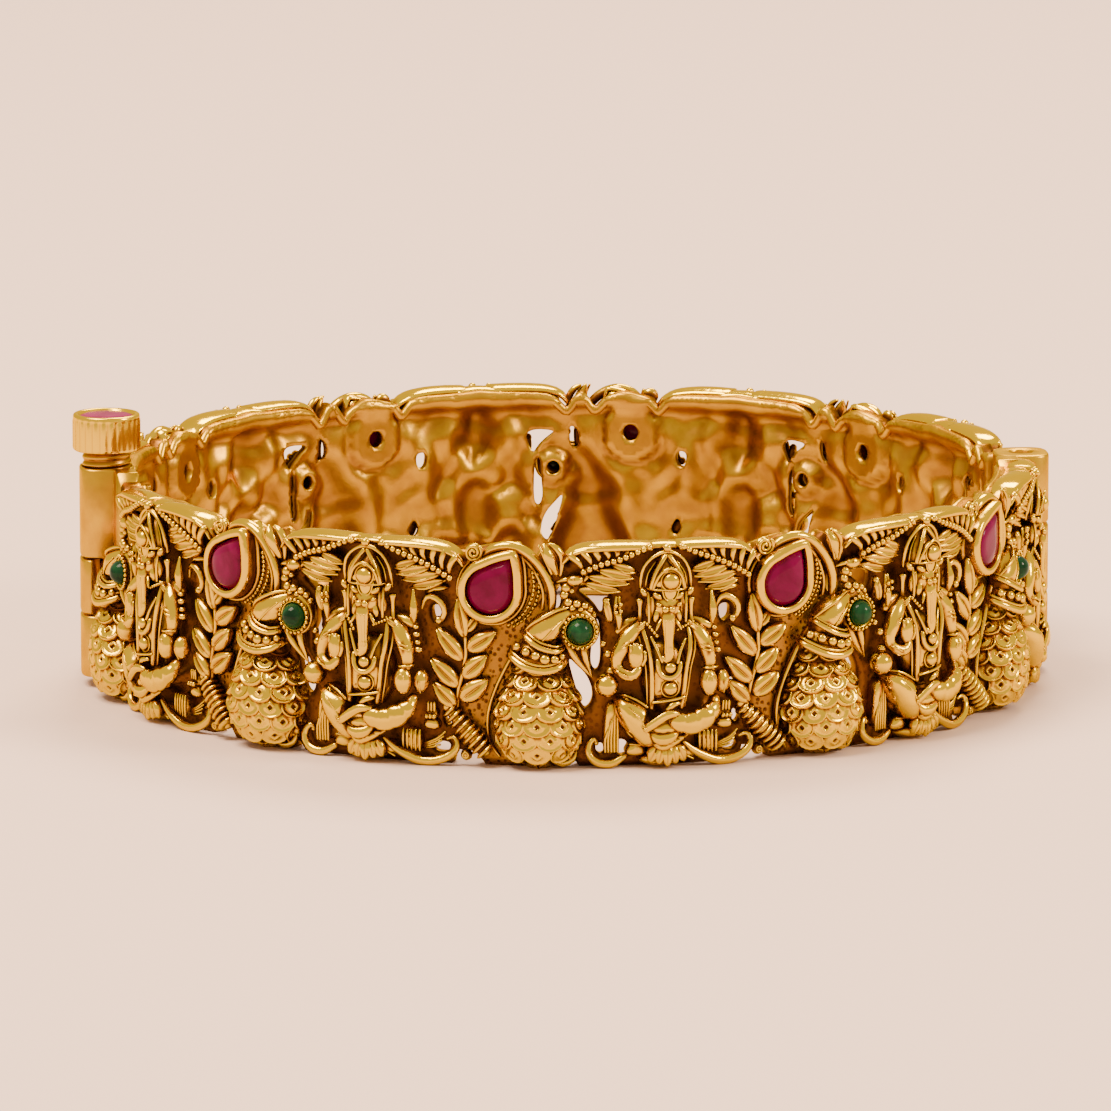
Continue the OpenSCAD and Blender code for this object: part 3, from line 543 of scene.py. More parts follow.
def rubySetting():
    c = Casting()
    for grow, middle, section in ((0.32, 1.95, ruby["rim"]), (0.78, 1.5, circle(0.2, 8) * [1, 2.6])):
        base = rubyPlace(pear(ruby["half"] + grow, ruby["tip"] + grow * 1.35), middle)
        side = frames(base, True)[2]
        inward = ((rubyPlace(np.zeros((1, 2)), middle) - base) * side).sum(1)
        side = np.where(inward[:, None] > 0, -side, side)
        cut = np.array(section)
        c.loop(base[:, None] + cut[None, :, :1] * side[:, None] + cut[None, :, 1:] * np.array([0, 1.0, 0]))
    c.rod(ruby["arch"], sides=12, step=0.25, flat=1.15)
    c.rod(ruby["innerArch"], 0.13)
    c.rod(ruby["bud"], sides=12, step=0.2)
    c.rod([[a - 0.3, o + 0.25, u] for a, o, u, r in ruby["bud"]], 0.09)
    c.rod(ruby["budEdge"], sides=10, step=0.2)
    c.rod(ruby["curlTo"], flat=1.6)
    c.string(ruby["grains"], 0.16, 0.31, 8)
    c.string([[a + 0.36, o - 0.1, u - 0.1] for a, o, u in ruby["grains"]], 0.14, 0.3, 8)
    a = np.linspace(0.4, 4.2 * math.pi, 30)   # spiral beside the arch
    small, large = ruby["spiralSize"]
    r = small + (large - small) * a / a[-1]
    x, out, z = ruby["spiral"]
    c.rod([[x + p, out, z + q] for p, q in zip(r * np.cos(a), r * np.sin(a))], ruby["spiralThick"], step=0.15)
    c.ball([x, 1.7, z], 0.6, (1, 0.5, 1))
    return c


# The peacock to the left of a figure
peacock = {
    "body": [[0.35, -3.72], [1.3, -3.52], [2.1, -3.05], [2.65, -2.4], [2.95, -1.6], [3.03, -0.8], [2.98, 0.0],
             [2.7, 0.9], [2.25, 1.8], [1.85, 2.6], [1.6, 3.3], [1.4, 3.8]],
    "at": [-8.55, 1.4, 3.85], "row": 0.98, "scaleWide": 1.7, "tilt": 0.24,
    "scale": [[1.0, -0.4], [1.0, -0.13], [1.0, 0.0], [0.96, 0.07], [0.9, 0.07], [0.84, 0.0], [0.58, 0.03],
              [0.45, 0.04], [0.37, 0.13], [0.23, 0.13], [0.16, -0.16]],
    "emerald": [-5.7, 2.75, 9.5],
    "collar": [[-10.5, 2.2, 8.0], [-10.3, 2.9, 7.75], [-9.27, 3.75, 7.2], [-8.1, 3.9, 6.98], [-7.1, 3.4, 7.2],
               [-6.75, 2.6, 7.5]],
    "hoodRim": [[-9.55, 2.2, 9.4], [-9.3, 2.95, 9.12], [-8.41, 3.5, 8.55], [-7.35, 3.35, 8.25],
                [-6.9, 2.7, 8.35]],
    "collarBeads": [[-9.95, 2.7, 8.45, 0.33], [-9.3, 3.2, 8.2, 0.35], [-8.65, 3.5, 7.98, 0.33],
                    [-8.05, 3.6, 7.75, 0.36], [-7.42, 3.4, 7.72, 0.33], [-6.95, 2.95, 7.85, 0.28]],
    "crest": [[-6.64, 2.1, 12.43, 0.36], [-6.76, 2.1, 11.93, 0.34], [-6.5, 2.2, 11.42, 0.34],
              [-5.9, 2.3, 11.35, 0.31], [-5.35, 2.2, 11.2, 0.3], [-5.0, 2.1, 10.9, 0.28],
              [-6.2, 2.3, 11.05, 0.26], [-5.65, 2.3, 10.95, 0.24], [-6.75, 2.2, 11.0, 0.26],
              [-6.25, 2.1, 12.2, 0.22], [-4.75, 2.0, 10.5, 0.26]],
    "rods": [
        [[[-8.75, 2.0, 8.7, 1.0], [-8.3, 2.1, 9.3, 1.15], [-7.7, 2.15, 9.9, 1.05], [-7.0, 2.1, 10.35, 0.75],
          [-6.3, 2.0, 10.75, 0.4]], 0, 1, 20, 0.2],   # hood, its lines, and the beak
        [[[-9.55, 2.3, 9.35, 0.1], [-8.95, 2.8, 10.05, 0.13], [-8.1, 3.0, 10.6, 0.14], [-7.2, 2.7, 11.0, 0.12],
          [-6.5, 2.4, 11.1, 0.08]]],
        [[[-8.2, 3.25, 9.0, 0.07], [-7.5, 3.2, 9.75, 0.08], [-6.9, 2.9, 10.3, 0.07]]],
        [[[-6.7, 2.2, 8.8, 0.36], [-6.2, 2.3, 7.9, 0.3], [-5.6, 2.2, 7.1, 0.2], [-4.95, 2.1, 6.4, 0.07]],
         0, 1, 10],
        [[[-5.5, 2.2, 8.4, 0.3], [-5.3, 2.25, 7.6, 0.26], [-5.05, 2.15, 6.9, 0.15], [-4.85, 2.1, 6.3, 0.06]],
         0, 1, 10],
        [[[-6.45, 2.1, 13.0, 0.2], [-6.9, 2.1, 12.95, 0.14], [-7.3, 2.0, 12.8, 0.05]]],   # bird on the crest
        [[[-5.6, 2.0, 12.8, 0.24], [-5.2, 2.0, 13.1, 0.22], [-5.3, 2.1, 13.5, 0.18]]],
        [[[-7.6, 2.0, 0.5, 0.2], [-6.9, 2.2, 0.35, 0.26], [-6.2, 2.1, 0.6, 0.22],
          [-5.95, 2.0, 1.1, 0.14]]]],   # foot
    "balls": [[[-8.5, 2.1, 7.85], 1.0, (1.6, 1.25, 0.95), -14, 22],
              [[-6.0, 2.1, 12.95], 1.0, (0.66, 0.5, 0.46), 8, 16],
              [[-6.15, 2.55, 13.05], 0.1, (1, 1, 1), 0, 6],
              [[-5.9, 2.0, 2.3], 0.4, (1, 0.8, 1.2)], [[-6.0, 1.9, 1.5], 0.4]],
    "hoops": [[[-6.0, 1.9, 9.7], 1.0, 0.58, None, 1, 24, 12]],
    "cup": [[-1.1, 0.95, 0.26, 8], [-0.75, 1.0, 0.24, 8], [-0.15, 1.03, 0.12, 6], [-0.5, 1.2, 0.16, 6]],
    "grains": 22, "grainRing": 1.14, "grain": 0.15,   # round the emerald
}


def featherScale(c, at, size, axes):   # a dished scale with a raised rim and a pierced eye
    a = np.arange(16) * math.pi / 8
    edge = np.stack([0.95 * np.cos(a), 0 * a, np.where(np.sin(a) > 0, 0.95, 0.74) * np.sin(a)], 1) * size
    rows = np.array(peacock["scale"])
    corner = (np.abs(np.cos(a)) + np.abs(np.sin(a))) ** 0.75
    eye = np.stack([np.cos(a), 0 * a, np.sin(a)], 1) * (size / corner)[:, None]
    form = np.where(rows[:, :1, None] < 0.53, eye[None], edge[None]) * rows[:, :1, None]
    rings = at + (form + rows[:, 1:, None] * np.array([0, size, 0])) @ axes
    c.skin(rings, rings[0].mean(0), rings[-1].mean(0))


def peacockForm():
    p, c = peacock, Casting()
    at, body = np.array(p["at"]), np.array(p["body"])
    c.turned(at, body, squash=0.92, parts=28)
    for j in range(8):
        h = body[-1, 1] - 0.55 - p["row"] * j
        r, above, below = (np.interp(h + s, body[:, 1], body[:, 0]) for s in (0, 0.2, -0.2))
        slope = (above - below) / 0.4
        step = p["scaleWide"] * min(1.0, 0.62 + r / 6) / r
        for k in range(-4, 5):
            a = (k + 0.5 * (j % 2)) * step
            if abs(a) > 1.62:
                continue
            outward = np.array([math.sin(a), math.cos(a), -slope])
            outward /= np.linalg.norm(outward)
            side = np.array([math.cos(a), -math.sin(a), 0])
            up = np.cross(side, outward)
            up *= np.sign(up[2])
            face = outward * math.cos(p["tilt"]) + up * math.sin(p["tilt"])
            high = up * math.cos(p["tilt"]) - outward * math.sin(p["tilt"])
            place = at + [r * math.sin(a), 0.92 * r * math.cos(a), h] + outward * 0.08
            featherScale(c, place, min(1.0, 0.62 + r / 6), np.array([side, face, high]))
    for lift, thick in ((0, 0.25), (0.36, 0.11)):
        c.rod([[a, o - 0.3 * lift, u + lift] for a, o, u in p["collar"]], thick)
    c.rod(p["hoodRim"], 0.2)
    c.rod([[a + 0.06, o - 0.15, u + 0.32] for a, o, u in p["hoodRim"]], 0.09)
    for a, o, u, r in p["collarBeads"] + p["crest"]:
        c.ball([a, o, u], r, parts=12)
    castForms(c, p)
    e = np.array(p["emerald"])
    for out, radius, thick, sides in p["cup"]:
        c.hoop(e + [0, out, 0], radius, thick, parts=28, sides=sides)
    for t in np.arange(p["grains"]) * 2 * math.pi / p["grains"]:
        c.ball(e + [p["grainRing"] * math.cos(t), -0.05, p["grainRing"] * math.sin(t)], p["grain"], parts=8)
    return c


# One unit of the relief, and how far out the wall behind it is hollowed
hollow = {"grid": 0.3, "blur": 0.36, "smooth": 0.34, "wallLeft": 1.2, "cover": 0.42, "deepest": 2.7,
          "start": 0.35,
          "softAbove": 3.5, "softOver": 1.0, "high": 15.58, "reliefLeft": 0.45, "rayFrom": 8, "rayReach": 6.5,
          "ground": 1.35, "foot": 0.3, "head": 14.3, "fade": 0.6,
          "flats": [[*ruby["at"][::2], 2.25, 0.25], [*peacock["emerald"][::2], 1.15, 0.45]]}
patinaAndShade = {"far": 2.4, "rays": 22, "nearHit": 0.35, "clear": 0.03}   # how much sky each place sees, which paints patina and shade into the hollows


def gathered(castings):   # the castings' points, eased to stay in the band's own space
    points, quads, threes, start = [], [], [], 0
    for c in castings:
        p, q, t = c.whole()
        points.append(p)
        quads.append(q + start)
        threes.append(t + start)
        start += len(p)
    points = np.vstack(points)
    soft, over = hollow["softAbove"], hollow["softOver"]
    far = points[:, 1] > soft
    points[far, 1] = soft + over * (1 - np.exp(-(points[far, 1] - soft) / over))
    points[:, 1] = np.maximum(points[:, 1], hollow["start"])
    points[:, 2] = np.clip(points[:, 2], 0.0, hollow["high"])
    return points, np.vstack(quads), np.vstack(threes)


def blurred(field, spread):   # softened along the band, which repeats, and up it
    reach = 6
    k = np.arange(-reach, reach + 1)
    w = np.exp(-(k * hollow["grid"] / spread) ** 2 / 2)
    w /= w.sum()
    field = sum(w[i] * np.roll(field, k[i], 0) for i in range(len(k)))
    wide = np.pad(field, ((0, 0), (reach, reach)), mode="edge")
    return sum(w[i] * wide[:, i:i + field.shape[1]] for i in range(len(k)))


def onGrid(field, along, up):   # the field's values at places on the band
    n, m = field.shape
    x = (along / unitLength % 1) * n
    y = np.clip(up / hollow["grid"], 0, m - 1.001)
    i, j = np.floor(x).astype(int) % n, np.floor(y).astype(int)
    s, t = x - np.floor(x), y - j
    k = (i + 1) % n
    return ((1 - s) * ((1 - t) * field[i, j] + t * field[i, j + 1])
            + s * ((1 - t) * field[k, j] + t * field[k, j + 1]))


def openness(points, normals, tree, far=patinaAndShade["far"], rays=patinaAndShade["rays"]):   # how much sky each point sees
    k = np.arange(rays) + 0.5
    high, turn = np.sqrt(1 - k / rays), k * math.pi * (3 - math.sqrt(5))
    low = np.sqrt(1 - high ** 2)
    fan = np.stack([low * np.cos(turn), low * np.sin(turn), high], 1)
    helper = np.where(np.abs(normals[:, 2:3]) > 0.8, [[1.0, 0, 0]], [[0, 0, 1.0]])
    u = np.cross(normals, helper)
    u /= np.linalg.norm(u, axis=1)[:, None] + 1e-9
    v = np.cross(normals, u)
    free = np.zeros(len(points))
    for i, start in enumerate((points + normals * patinaAndShade["clear"]).tolist()):
        at = Vector(start)
        for d in (fan[:, :1] * u[i] + fan[:, 1:2] * v[i] + fan[:, 2:] * normals[i]).tolist():
            hit = tree.ray_cast(at, d, far)
            free[i] += 1 if hit[3] is None else patinaAndShade["nearHit"] * (hit[3] / far)
    return free / rays


def unitTree(points, faces, plateOut):   # three units side by side, with the wall behind them
    n = len(points)
    sideways = [points + [unitLength * k, 0, 0] for k in (-1, 0, 1)]
    plate = np.array([[-40, plateOut, -1], [40, plateOut, -1], [40, plateOut, 15.1],
                      [-40, plateOut, 15.1]], float)
    allFaces = [f for k in range(3) for kind in faces for f in (kind + k * n).tolist()]
    allFaces.append([3 * n + k for k in range(4)])
    return BVHTree.FromPolygons(np.vstack(sideways + [plate]).tolist(), allFaces)


ornament = {"figure": seatedFigure(), "canopy": leafyCanopy(), "peacock": peacockForm(), "spray": leafSpray(),
            "ruby": rubySetting()}
points, quads, threes = gathered(ornament.values())
print("one unit of the relief:", len(points), "points,", 2 * len(quads) + len(threes), "triangles")
for name, part in ornament.items():
    _, q, t = part.whole()
    print("  ", name, 2 * len(q) + len(t))
tree = unitTree(points, (quads, threes), hollow["ground"])
columns, rows = round(unitLength / hollow["grid"]), int(hollow["high"] / hollow["grid"]) + 1
reliefReach = np.full((columns, rows), band["wall"])
for i in range(columns):
    for j in range(rows):
        along = i / columns * unitLength - (unitLength if i > columns / 2 else 0)
        above = Vector((along, hollow["rayFrom"], j * hollow["grid"]))
        hit = tree.ray_cast(above, (0, -1, 0), hollow["rayReach"])
        if hit[0] is not None:
            reliefReach[i, j] = hit[0].y
lowest = np.min([np.roll(reliefReach, k, 0) for k in (-1, 0, 1)], axis=0)
beside = np.pad(lowest, ((0, 0), (1, 1)), mode="edge")
lowest = np.min([lowest, beside[:, :-2], beside[:, 2:]], axis=0)
deep = np.minimum(blurred(reliefReach, hollow["blur"]) - hollow["wallLeft"], lowest - hollow["cover"])
deep = blurred(np.clip(deep, 0, hollow["deepest"]), hollow["smooth"])
x = (np.arange(columns) / columns * unitLength)[:, None]
y = (np.arange(rows) * hollow["grid"])[None]
for a, u, r, most in hollow["flats"]:   # flat seats behind the stones
    gap = np.hypot((x - a + unitLength / 2) % unitLength - unitLength / 2, y - u)
    deep = np.where(gap < r, np.minimum(deep, most), deep)
for room in (hollow["head"] - y, y - hollow["foot"]):   # none at the rims
    deep *= np.clip(room / hollow["fade"], 0, 1)
behind = onGrid(deep, points[:, 0], points[:, 2])
points[:, 1] = np.where(behind > 0.06, np.maximum(points[:, 1], behind + hollow["reliefLeft"]), points[:, 1])
print("wall hollowed behind the relief")

# Hollows hold dark patina and painted shade, so each point of the relief is marked with how open it lies and
# is painted darker where it sees less sky
flatMesh = meshOf("flatUnit", points, quads, threes)
normals = np.zeros(len(points) * 3)
flatMesh.vertices.foreach_get("normal", normals)
unitOpen = openness(points, normals.reshape(-1, 3), tree)
print("open and hollow places marked")


def addNumber(mesh, name, values):
    mark = mesh.attributes.new(name, "FLOAT", "POINT")
    mark.data.foreach_set("value", np.ascontiguousarray(values, dtype=np.float32))


def clipped(mesh, at):   # a flat mesh cut off at a place along the band, and closed there
    form = bmesh.new()
    form.from_mesh(mesh)
    cut = bmesh.ops.bisect_plane(form, geom=form.verts[:] + form.edges[:] + form.faces[:], dist=1e-5,
                                 plane_co=(at, 0, 0), plane_no=(1, 0, 0), clear_outer=True)
    edges = [e for e in cut["geom_cut"] if isinstance(e, bmesh.types.BMEdge) and e.is_boundary]
    bmesh.ops.holes_fill(form, edges=edges, sides=0)
    form.to_mesh(mesh)
    form.free()
    return mesh


addNumber(flatMesh, "open", unitOpen)
firstParts = sum(ornament[k].count for k in ("figure", "canopy", "peacock"))
endMesh = flatMesh.copy()
form = bmesh.new()
form.from_mesh(endMesh)
bmesh.ops.delete(form, geom=[v for v in form.verts if v.index >= firstParts], context="VERTS")
form.to_mesh(endMesh)
form.free()
endMesh = clipped(endMesh, band["lastCut"])


def bent(mesh, figureTurn, name):
    copy = mesh.copy()
    copy.name = name
    flat = np.zeros(len(copy.vertices) * 3)
    copy.vertices.foreach_get("co", flat)
    copy.vertices.foreach_set("co", bend(flat.reshape(-1, 3), figureTurn).ravel())
    copy.update()
    return copy


# Materials
metal = {
    "cast": {"roughness": (0.5, 0.14), "grain": 1500, "grainDepth": 0.5},
    "wall": {"roughness": (0.5, 0.24), "grain": 1500, "grainDepth": 0.35},
    "smooth": {"roughness": (0.4, 0.18), "grain": 1400, "grainDepth": 0.1},
    "tones": [(0.0, (0.11, 0.04, 0.009)), (0.3, (0.21, 0.088, 0.013)), (0.52, (0.34, 0.172, 0.013)),
              (0.74, (0.54, 0.325, 0.006)), (1.0, (0.72, 0.495, 0.007))],   # from hollow to open: dark patina and painted shade in the hollows, bright gold where open
    "edgeTint": (1.0, 0.81, 0.08, 1), "grainHeight": 0.00006,
    "cloud": 520, "cloudShift": 0.34, "openRange": (0.08, 0.84),   # the edge of the patina and painted shade wanders a little
    # pitDark paints patina and shade into the punched pits of the stippled field, pitDeep sinks them with the
    # bump
    "pits": 2500, "pitRange": (0.12, 0.42), "pitDark": -0.75, "pitDeep": -3.0,
}


def addNode(tree, kind, inputs, operation=None):   # a node with its values set and its inputs joined
    node = tree.nodes.new("ShaderNode" + kind)
    if operation:
        node.operation = operation
    for key, value in inputs.items():
        if isinstance(value, bpy.types.NodeSocket):
            tree.links.new(value, node.inputs[key])
        else:
            node.inputs[key].default_value = value
    return node


def setRamp(ramp, tones):
    while len(ramp.elements) < len(tones):
        ramp.elements.new(0.5)
    for stop, (at, colour) in zip(ramp.elements, tones):
        stop.position, stop.color = at, (*colour, 1)


def patinaShadeGoldGroup():   # gold with dark patina and painted shade in its hollows
    group = bpy.data.node_groups.new("patinaShadeGold", "ShaderNodeTree")
    for name, value in (("Open", 1.0), ("Grain Scale", 2000.0), ("Rough Low", 0.2), ("Rough High", 0.45),
                        ("Stipple", 0.0)):
        group.interface.new_socket(name, in_out="INPUT", socket_type="NodeSocketFloat").default_value = value
    for name, kind in (("Color", "Color"), ("Roughness", "Float"), ("Height", "Float")):
        group.interface.new_socket(name, in_out="OUTPUT", socket_type="NodeSocket" + kind)
    given, result = group.nodes.new("NodeGroupInput"), group.nodes.new("NodeGroupOutput")
    given = given.outputs
    place = addNode(group, "TexCoord", {}).outputs["Object"]
    cloud = addNode(group, "TexNoise", {"Scale": metal["cloud"], "Detail": 6, "Vector": place})
    grain = addNode(group, "TexNoise", {"Scale": given["Grain Scale"], "Detail": 4, "Vector": place})
    wander = metal["cloudShift"]
    shift = addNode(group, "Math", {0: cloud.outputs["Fac"], 1: wander, 2: -wander / 2}, "MULTIPLY_ADD")
    total = addNode(group, "Math", {0: given["Open"], 1: shift.outputs[0]}, "ADD")
    low, high = metal["openRange"]
    spread = addNode(group, "MapRange", {"Value": total.outputs[0], "From Min": low, "From Max": high})
    # punched pits in the stippled field, painted darker with patina and shade and sunk by the bump
    pits = addNode(group, "TexVoronoi", {"Scale": metal["pits"], "Vector": place})
    low, high = metal["pitRange"]
    pit = addNode(group, "MapRange", {"Value": pits.outputs["Distance"], "From Min": low, "From Max": high})
    inPit = addNode(group, "Math", {0: 1.0, 1: pit.outputs["Result"]}, "SUBTRACT")
    pitDepth = addNode(group, "Math", {0: inPit.outputs[0], 1: given["Stipple"]}, "MULTIPLY").outputs[0]
    tone = addNode(group, "Math", {0: pitDepth, 1: metal["pitDark"], 2: spread.outputs["Result"]},
                   "MULTIPLY_ADD")
    tone.use_clamp = True
    ramp = addNode(group, "ValToRGB", {"Fac": tone.outputs[0]})
    setRamp(ramp.color_ramp, metal["tones"])
    rough = addNode(group, "MapRange", {"Value": tone.outputs[0], "To Min": given["Rough High"],
                                        "To Max": given["Rough Low"]})
    height = addNode(group, "Math", {0: pitDepth, 1: metal["pitDeep"], 2: grain.outputs["Fac"]},
                     "MULTIPLY_ADD")
    group.links.new(ramp.outputs["Color"], result.inputs["Color"])
    group.links.new(rough.outputs["Result"], result.inputs["Roughness"])
    group.links.new(height.outputs[0], result.inputs["Height"])
    return group


patinaShadeGold = patinaShadeGoldGroup()


def newMaterial(name):
    material = bpy.data.materials.new(name)
    material.use_nodes = True
    return material, material.node_tree, material.node_tree.nodes["Principled BSDF"].inputs


def goldMaterial(name, finish, marks=()):   # marks are the mesh's numbers that say how open it lies, which paint patina and shade into its hollows
    material, tree, shader = newMaterial(name)
    patinaShadeNode = tree.nodes.new("ShaderNodeGroup")
    patinaShadeNode.node_tree = patinaShadeGold
    patinaShadeNode.inputs["Grain Scale"].default_value = finish["grain"]
    patinaShadeNode.inputs["Rough High"].default_value, patinaShadeNode.inputs["Rough Low"].default_value = finish["roughness"]
    for mark in marks:
        read = addNode(tree, "Attribute", {})
        read.attribute_name = mark
        tree.links.new(read.outputs["Fac"], patinaShadeNode.inputs[mark.capitalize()])
    bump = addNode(tree, "Bump", {"Strength": finish["grainDepth"], "Distance": metal["grainHeight"],
                                  "Height": patinaShadeNode.outputs["Height"]})
    tree.links.new(patinaShadeNode.outputs["Color"], shader["Base Color"])
    tree.links.new(patinaShadeNode.outputs["Roughness"], shader["Roughness"])
    tree.links.new(bump.outputs["Normal"], shader["Normal"])
    shader["Metallic"].default_value = 1
    shader["Specular Tint"].default_value = metal["edgeTint"]
    return material


castGold = goldMaterial("castGold", metal["cast"], ["open"])
wallGold = goldMaterial("wallGold", metal["wall"], ["open", "stipple"])
smoothGold = goldMaterial("smoothGold", metal["smooth"], ["open"])

stones = {
    "ruby": {"tones": [(0.32, (0.085, 0.0, 0.022)), (0.72, (0.16, 0.0, 0.055))], "rough": 0.14, "veins": 420,
             "gloss": 0.1},
    "knob": {"tones": [(0.32, (0.13, 0.0, 0.03)), (0.72, (0.22, 0.002, 0.075))], "rough": 0.25, "veins": 420,
             "gloss": 0.02},
    "emerald": {"tones": [(0.32, (0.002, 0.018, 0.007)), (0.72, (0.009, 0.07, 0.024))], "rough": 0.12,
                "veins": 900,
                "gloss": 0.1},
}


def stoneMaterial(name, finish):
    material, tree, shader = newMaterial(name)
    place = addNode(tree, "TexCoord", {}).outputs["Object"]
    cloud = addNode(tree, "TexNoise", {"Scale": finish["veins"], "Detail": 5, "Distortion": 0.8,
                                       "Vector": place})
    ramp = addNode(tree, "ValToRGB", {"Fac": cloud.outputs["Fac"]})
    setRamp(ramp.color_ramp, finish["tones"])
    tree.links.new(ramp.outputs["Color"], shader["Base Color"])
    for key, value in (("Roughness", finish["rough"]), ("IOR", 1.5), ("Specular IOR Level", finish["gloss"]),
                       ("Coat Weight", 0.5 * finish["gloss"]), ("Coat Roughness", 0.04)):
        shader[key].default_value = value
    return material


rubyStone = stoneMaterial("rubyStone", stones["ruby"])
knobStone = stoneMaterial("knobStone", stones["knob"])
emeraldStone = stoneMaterial("emeraldStone", stones["emerald"])


def addPiece(name, mesh, material, body, stands=()):
    mesh.materials.clear()
    mesh.materials.append(material)
    piece = bpy.data.objects.new(name, mesh)
    bpy.context.scene.collection.objects.link(piece)
    if stands:
        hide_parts(*stands)
    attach(piece, body)
    return piece


halves = {"front": {"turn": 0.0, "body": "front_half"}, "back": {"turn": 180.0, "body": "back_half"}}
for half, facts in halves.items():
    for i in range(band["units"]):
        source = endMesh if i == lastUnit else flatMesh
        turn = band["firstFigure"] + facts["turn"] + i * band["unitTurn"]
        name = half + "Relief%d" % (i + 1)
        addPiece(name, bent(source, turn, name), castGold, facts["body"])
print("relief set on both halves")

# The pierced wall behind the relief: its edges and openings as [along, up]
wall = {
    "gaps": [[[-6.0, 12.2], [-4.6, 12.35], [-3.6, 12.1], [-3.7, 11.4], [-4.15, 10.4], [-4.5, 11.0],
              [-5.1, 11.6]],
             [[-4.75, 10.2], [-4.3, 10.1], [-4.2, 8.6], [-4.2, 7.0], [-4.6, 6.5], [-4.95, 7.2], [-4.8, 8.6]],
             [[-6.6, 7.6], [-5.9, 7.0], [-5.1, 6.2], [-4.7, 5.0], [-4.9, 4.2], [-5.4, 3.9], [-5.9, 5.2]],
             [[-7.75, 12.2], [-7.0, 12.7], [-7.0, 11.6], [-7.1, 10.9], [-7.7, 10.9]],
             [[4.4, 10.9], [5.3, 10.9], [5.3, 9.9], [4.7, 9.6], [4.4, 10.1]],
             [[5.3, 6.0], [5.9, 4.9], [5.3, 4.5], [4.9, 5.2]],
             [[-3.1, 1.9], [-2.2, 1.7], [-2.4, 0.6], [-3.2, 0.9]],
             [[5.4, 3.7], [6.0, 3.3], [5.9, 2.6], [5.4, 2.7]],
             [[-4.6, 1.6], [-4.0, 1.6], [-3.95, 0.85], [-4.5, 0.9]],
             [[4.5, 1.5], [5.9, 1.5], [5.7, 0.75], [4.6, 0.8]]],
    "lowNotches": [[[-6.9, 0], [-6.3, 0.7], [-5.7, 0]], [[5.9, 0], [6.2, 1.0], [7.6, 0.9], [8.4, 0]]],
    "topEdge": [[-10.2, 14.9], [-9.5, 14.5], [-9.1, 14.0], [-8.6, 14.4], [-8.1, 15.1], [-7.6, 15.0],
                [-7.1, 14.2], [-6.6, 14.0], [-6.1, 14.6], [-5.2, 15.0], [-4.0, 15.1], [-2.6, 15.15],
                [-1.0, 15.2], [0.2, 15.3], [1.4, 15.2], [3.0, 15.15], [4.6, 15.1], [5.8, 14.9], [6.4, 14.2],
                [6.8, 14.1], [7.2, 14.7], [8.0, 14.9], [8.8, 15.1], [9.8, 15.2]],
    "holes": [[ruby["at"][0], ruby["at"][2], 0.62], [peacock["emerald"][0], peacock["emerald"][2], 0.52]],
    "grid": 0.38, "rowStep": 0.9, "edgeStep": 0.35, "lip": 0.34, "startHigh": 15.0, "endHigh": 15.1,
    "clearOfRim": 0.2, "clearOfHoles": 1.15, "shallow": 0.25, "edgeIn": 0.22, "edgeOut": 0.2, "thin": 0.3,
    "endFlat": 0.4, "curlWide": 2.1, "curlFade": 0.5, "leastStipple": 0.3,
    "openOutside": 0.26, "openStipple": 0.42, "openInside": (0.02, 0.56),   # how dark: the relief's painted shadow and patina on the wall's outside, painted shade and patina in the inner dishes
    "openTubes": 0.62, "rays": 14, "insideFar": 4.0,
}


def insideOf(points, shape):   # which points lie in a closed outline
    x, y = points[:, 0], points[:, 1]
    within = np.zeros(len(points), bool)
    for (x1, y1), (x2, y2) in zip(shape, np.roll(shape, -1, 0)):
        cross = ((y1 > y) != (y2 > y)) & (x < (x2 - x1) * (y - y1) / (y2 - y1 + 1e-12) + x1)
        within ^= cross
    return within


def dense(shape):   # an outline with points added along its sides
    out = []
    for a, b in zip(shape, np.roll(shape, -1, 0)):
        count = max(1, int(np.linalg.norm(b - a) / wall["edgeStep"]))
        out += [a + (b - a) * k / count for k in range(count)]
    return np.array(out)


def topLine(step=0.4):   # the wall's top edge from tube to tube
    line = [[wallStart, wall["startHigh"]]]
    for i in range(band["units"]):
        line += [[a + i * unitLength, u] for a, u in wall["topEdge"]
                 if wallStart < a + i * unitLength < wallEnd - step]
    line = np.array(line + [[wallEnd, wall["endHigh"]]])
    return curve(np.column_stack([line[:, 0], 0 * line[:, 0], line[:, 1]]), step)[:, [0, 2]]


def fits(i, along):   # the tube takes the right side of the last unit
    return i < lastUnit or along <= 3


def wallOutlines():   # the wall's rim, and its holes in every unit
    low, holes, top = [], [], wall["endHigh"]
    for i in range(band["units"]):
        shift = np.array([i * unitLength, 0])
        low += [shift + p for notch in wall["lowNotches"] if fits(i, notch[0][0]) for p in notch]
        holes += [rounded(gap, 3)[::2] + shift for gap in wall["gaps"] if fits(i, gap[0][0])]
        holes += [circle(r, 20) + [a, u] + shift for a, u, r in wall["holes"] if fits(i, a)]
    foot = dense(np.array([[wallStart, 0]] + low + [[wallEnd, 0], [wallEnd, top]], float))
    closing = int(np.linalg.norm([wallEnd - wallStart, top]) / wall["edgeStep"])   # points of the line back
    foot = foot[:-closing]
    side = [[wallStart, u] for u in np.arange(wall["startHigh"] - 0.4, 0.2, -wall["grid"])]
    return np.vstack([foot, topLine()[::-1], side]), holes


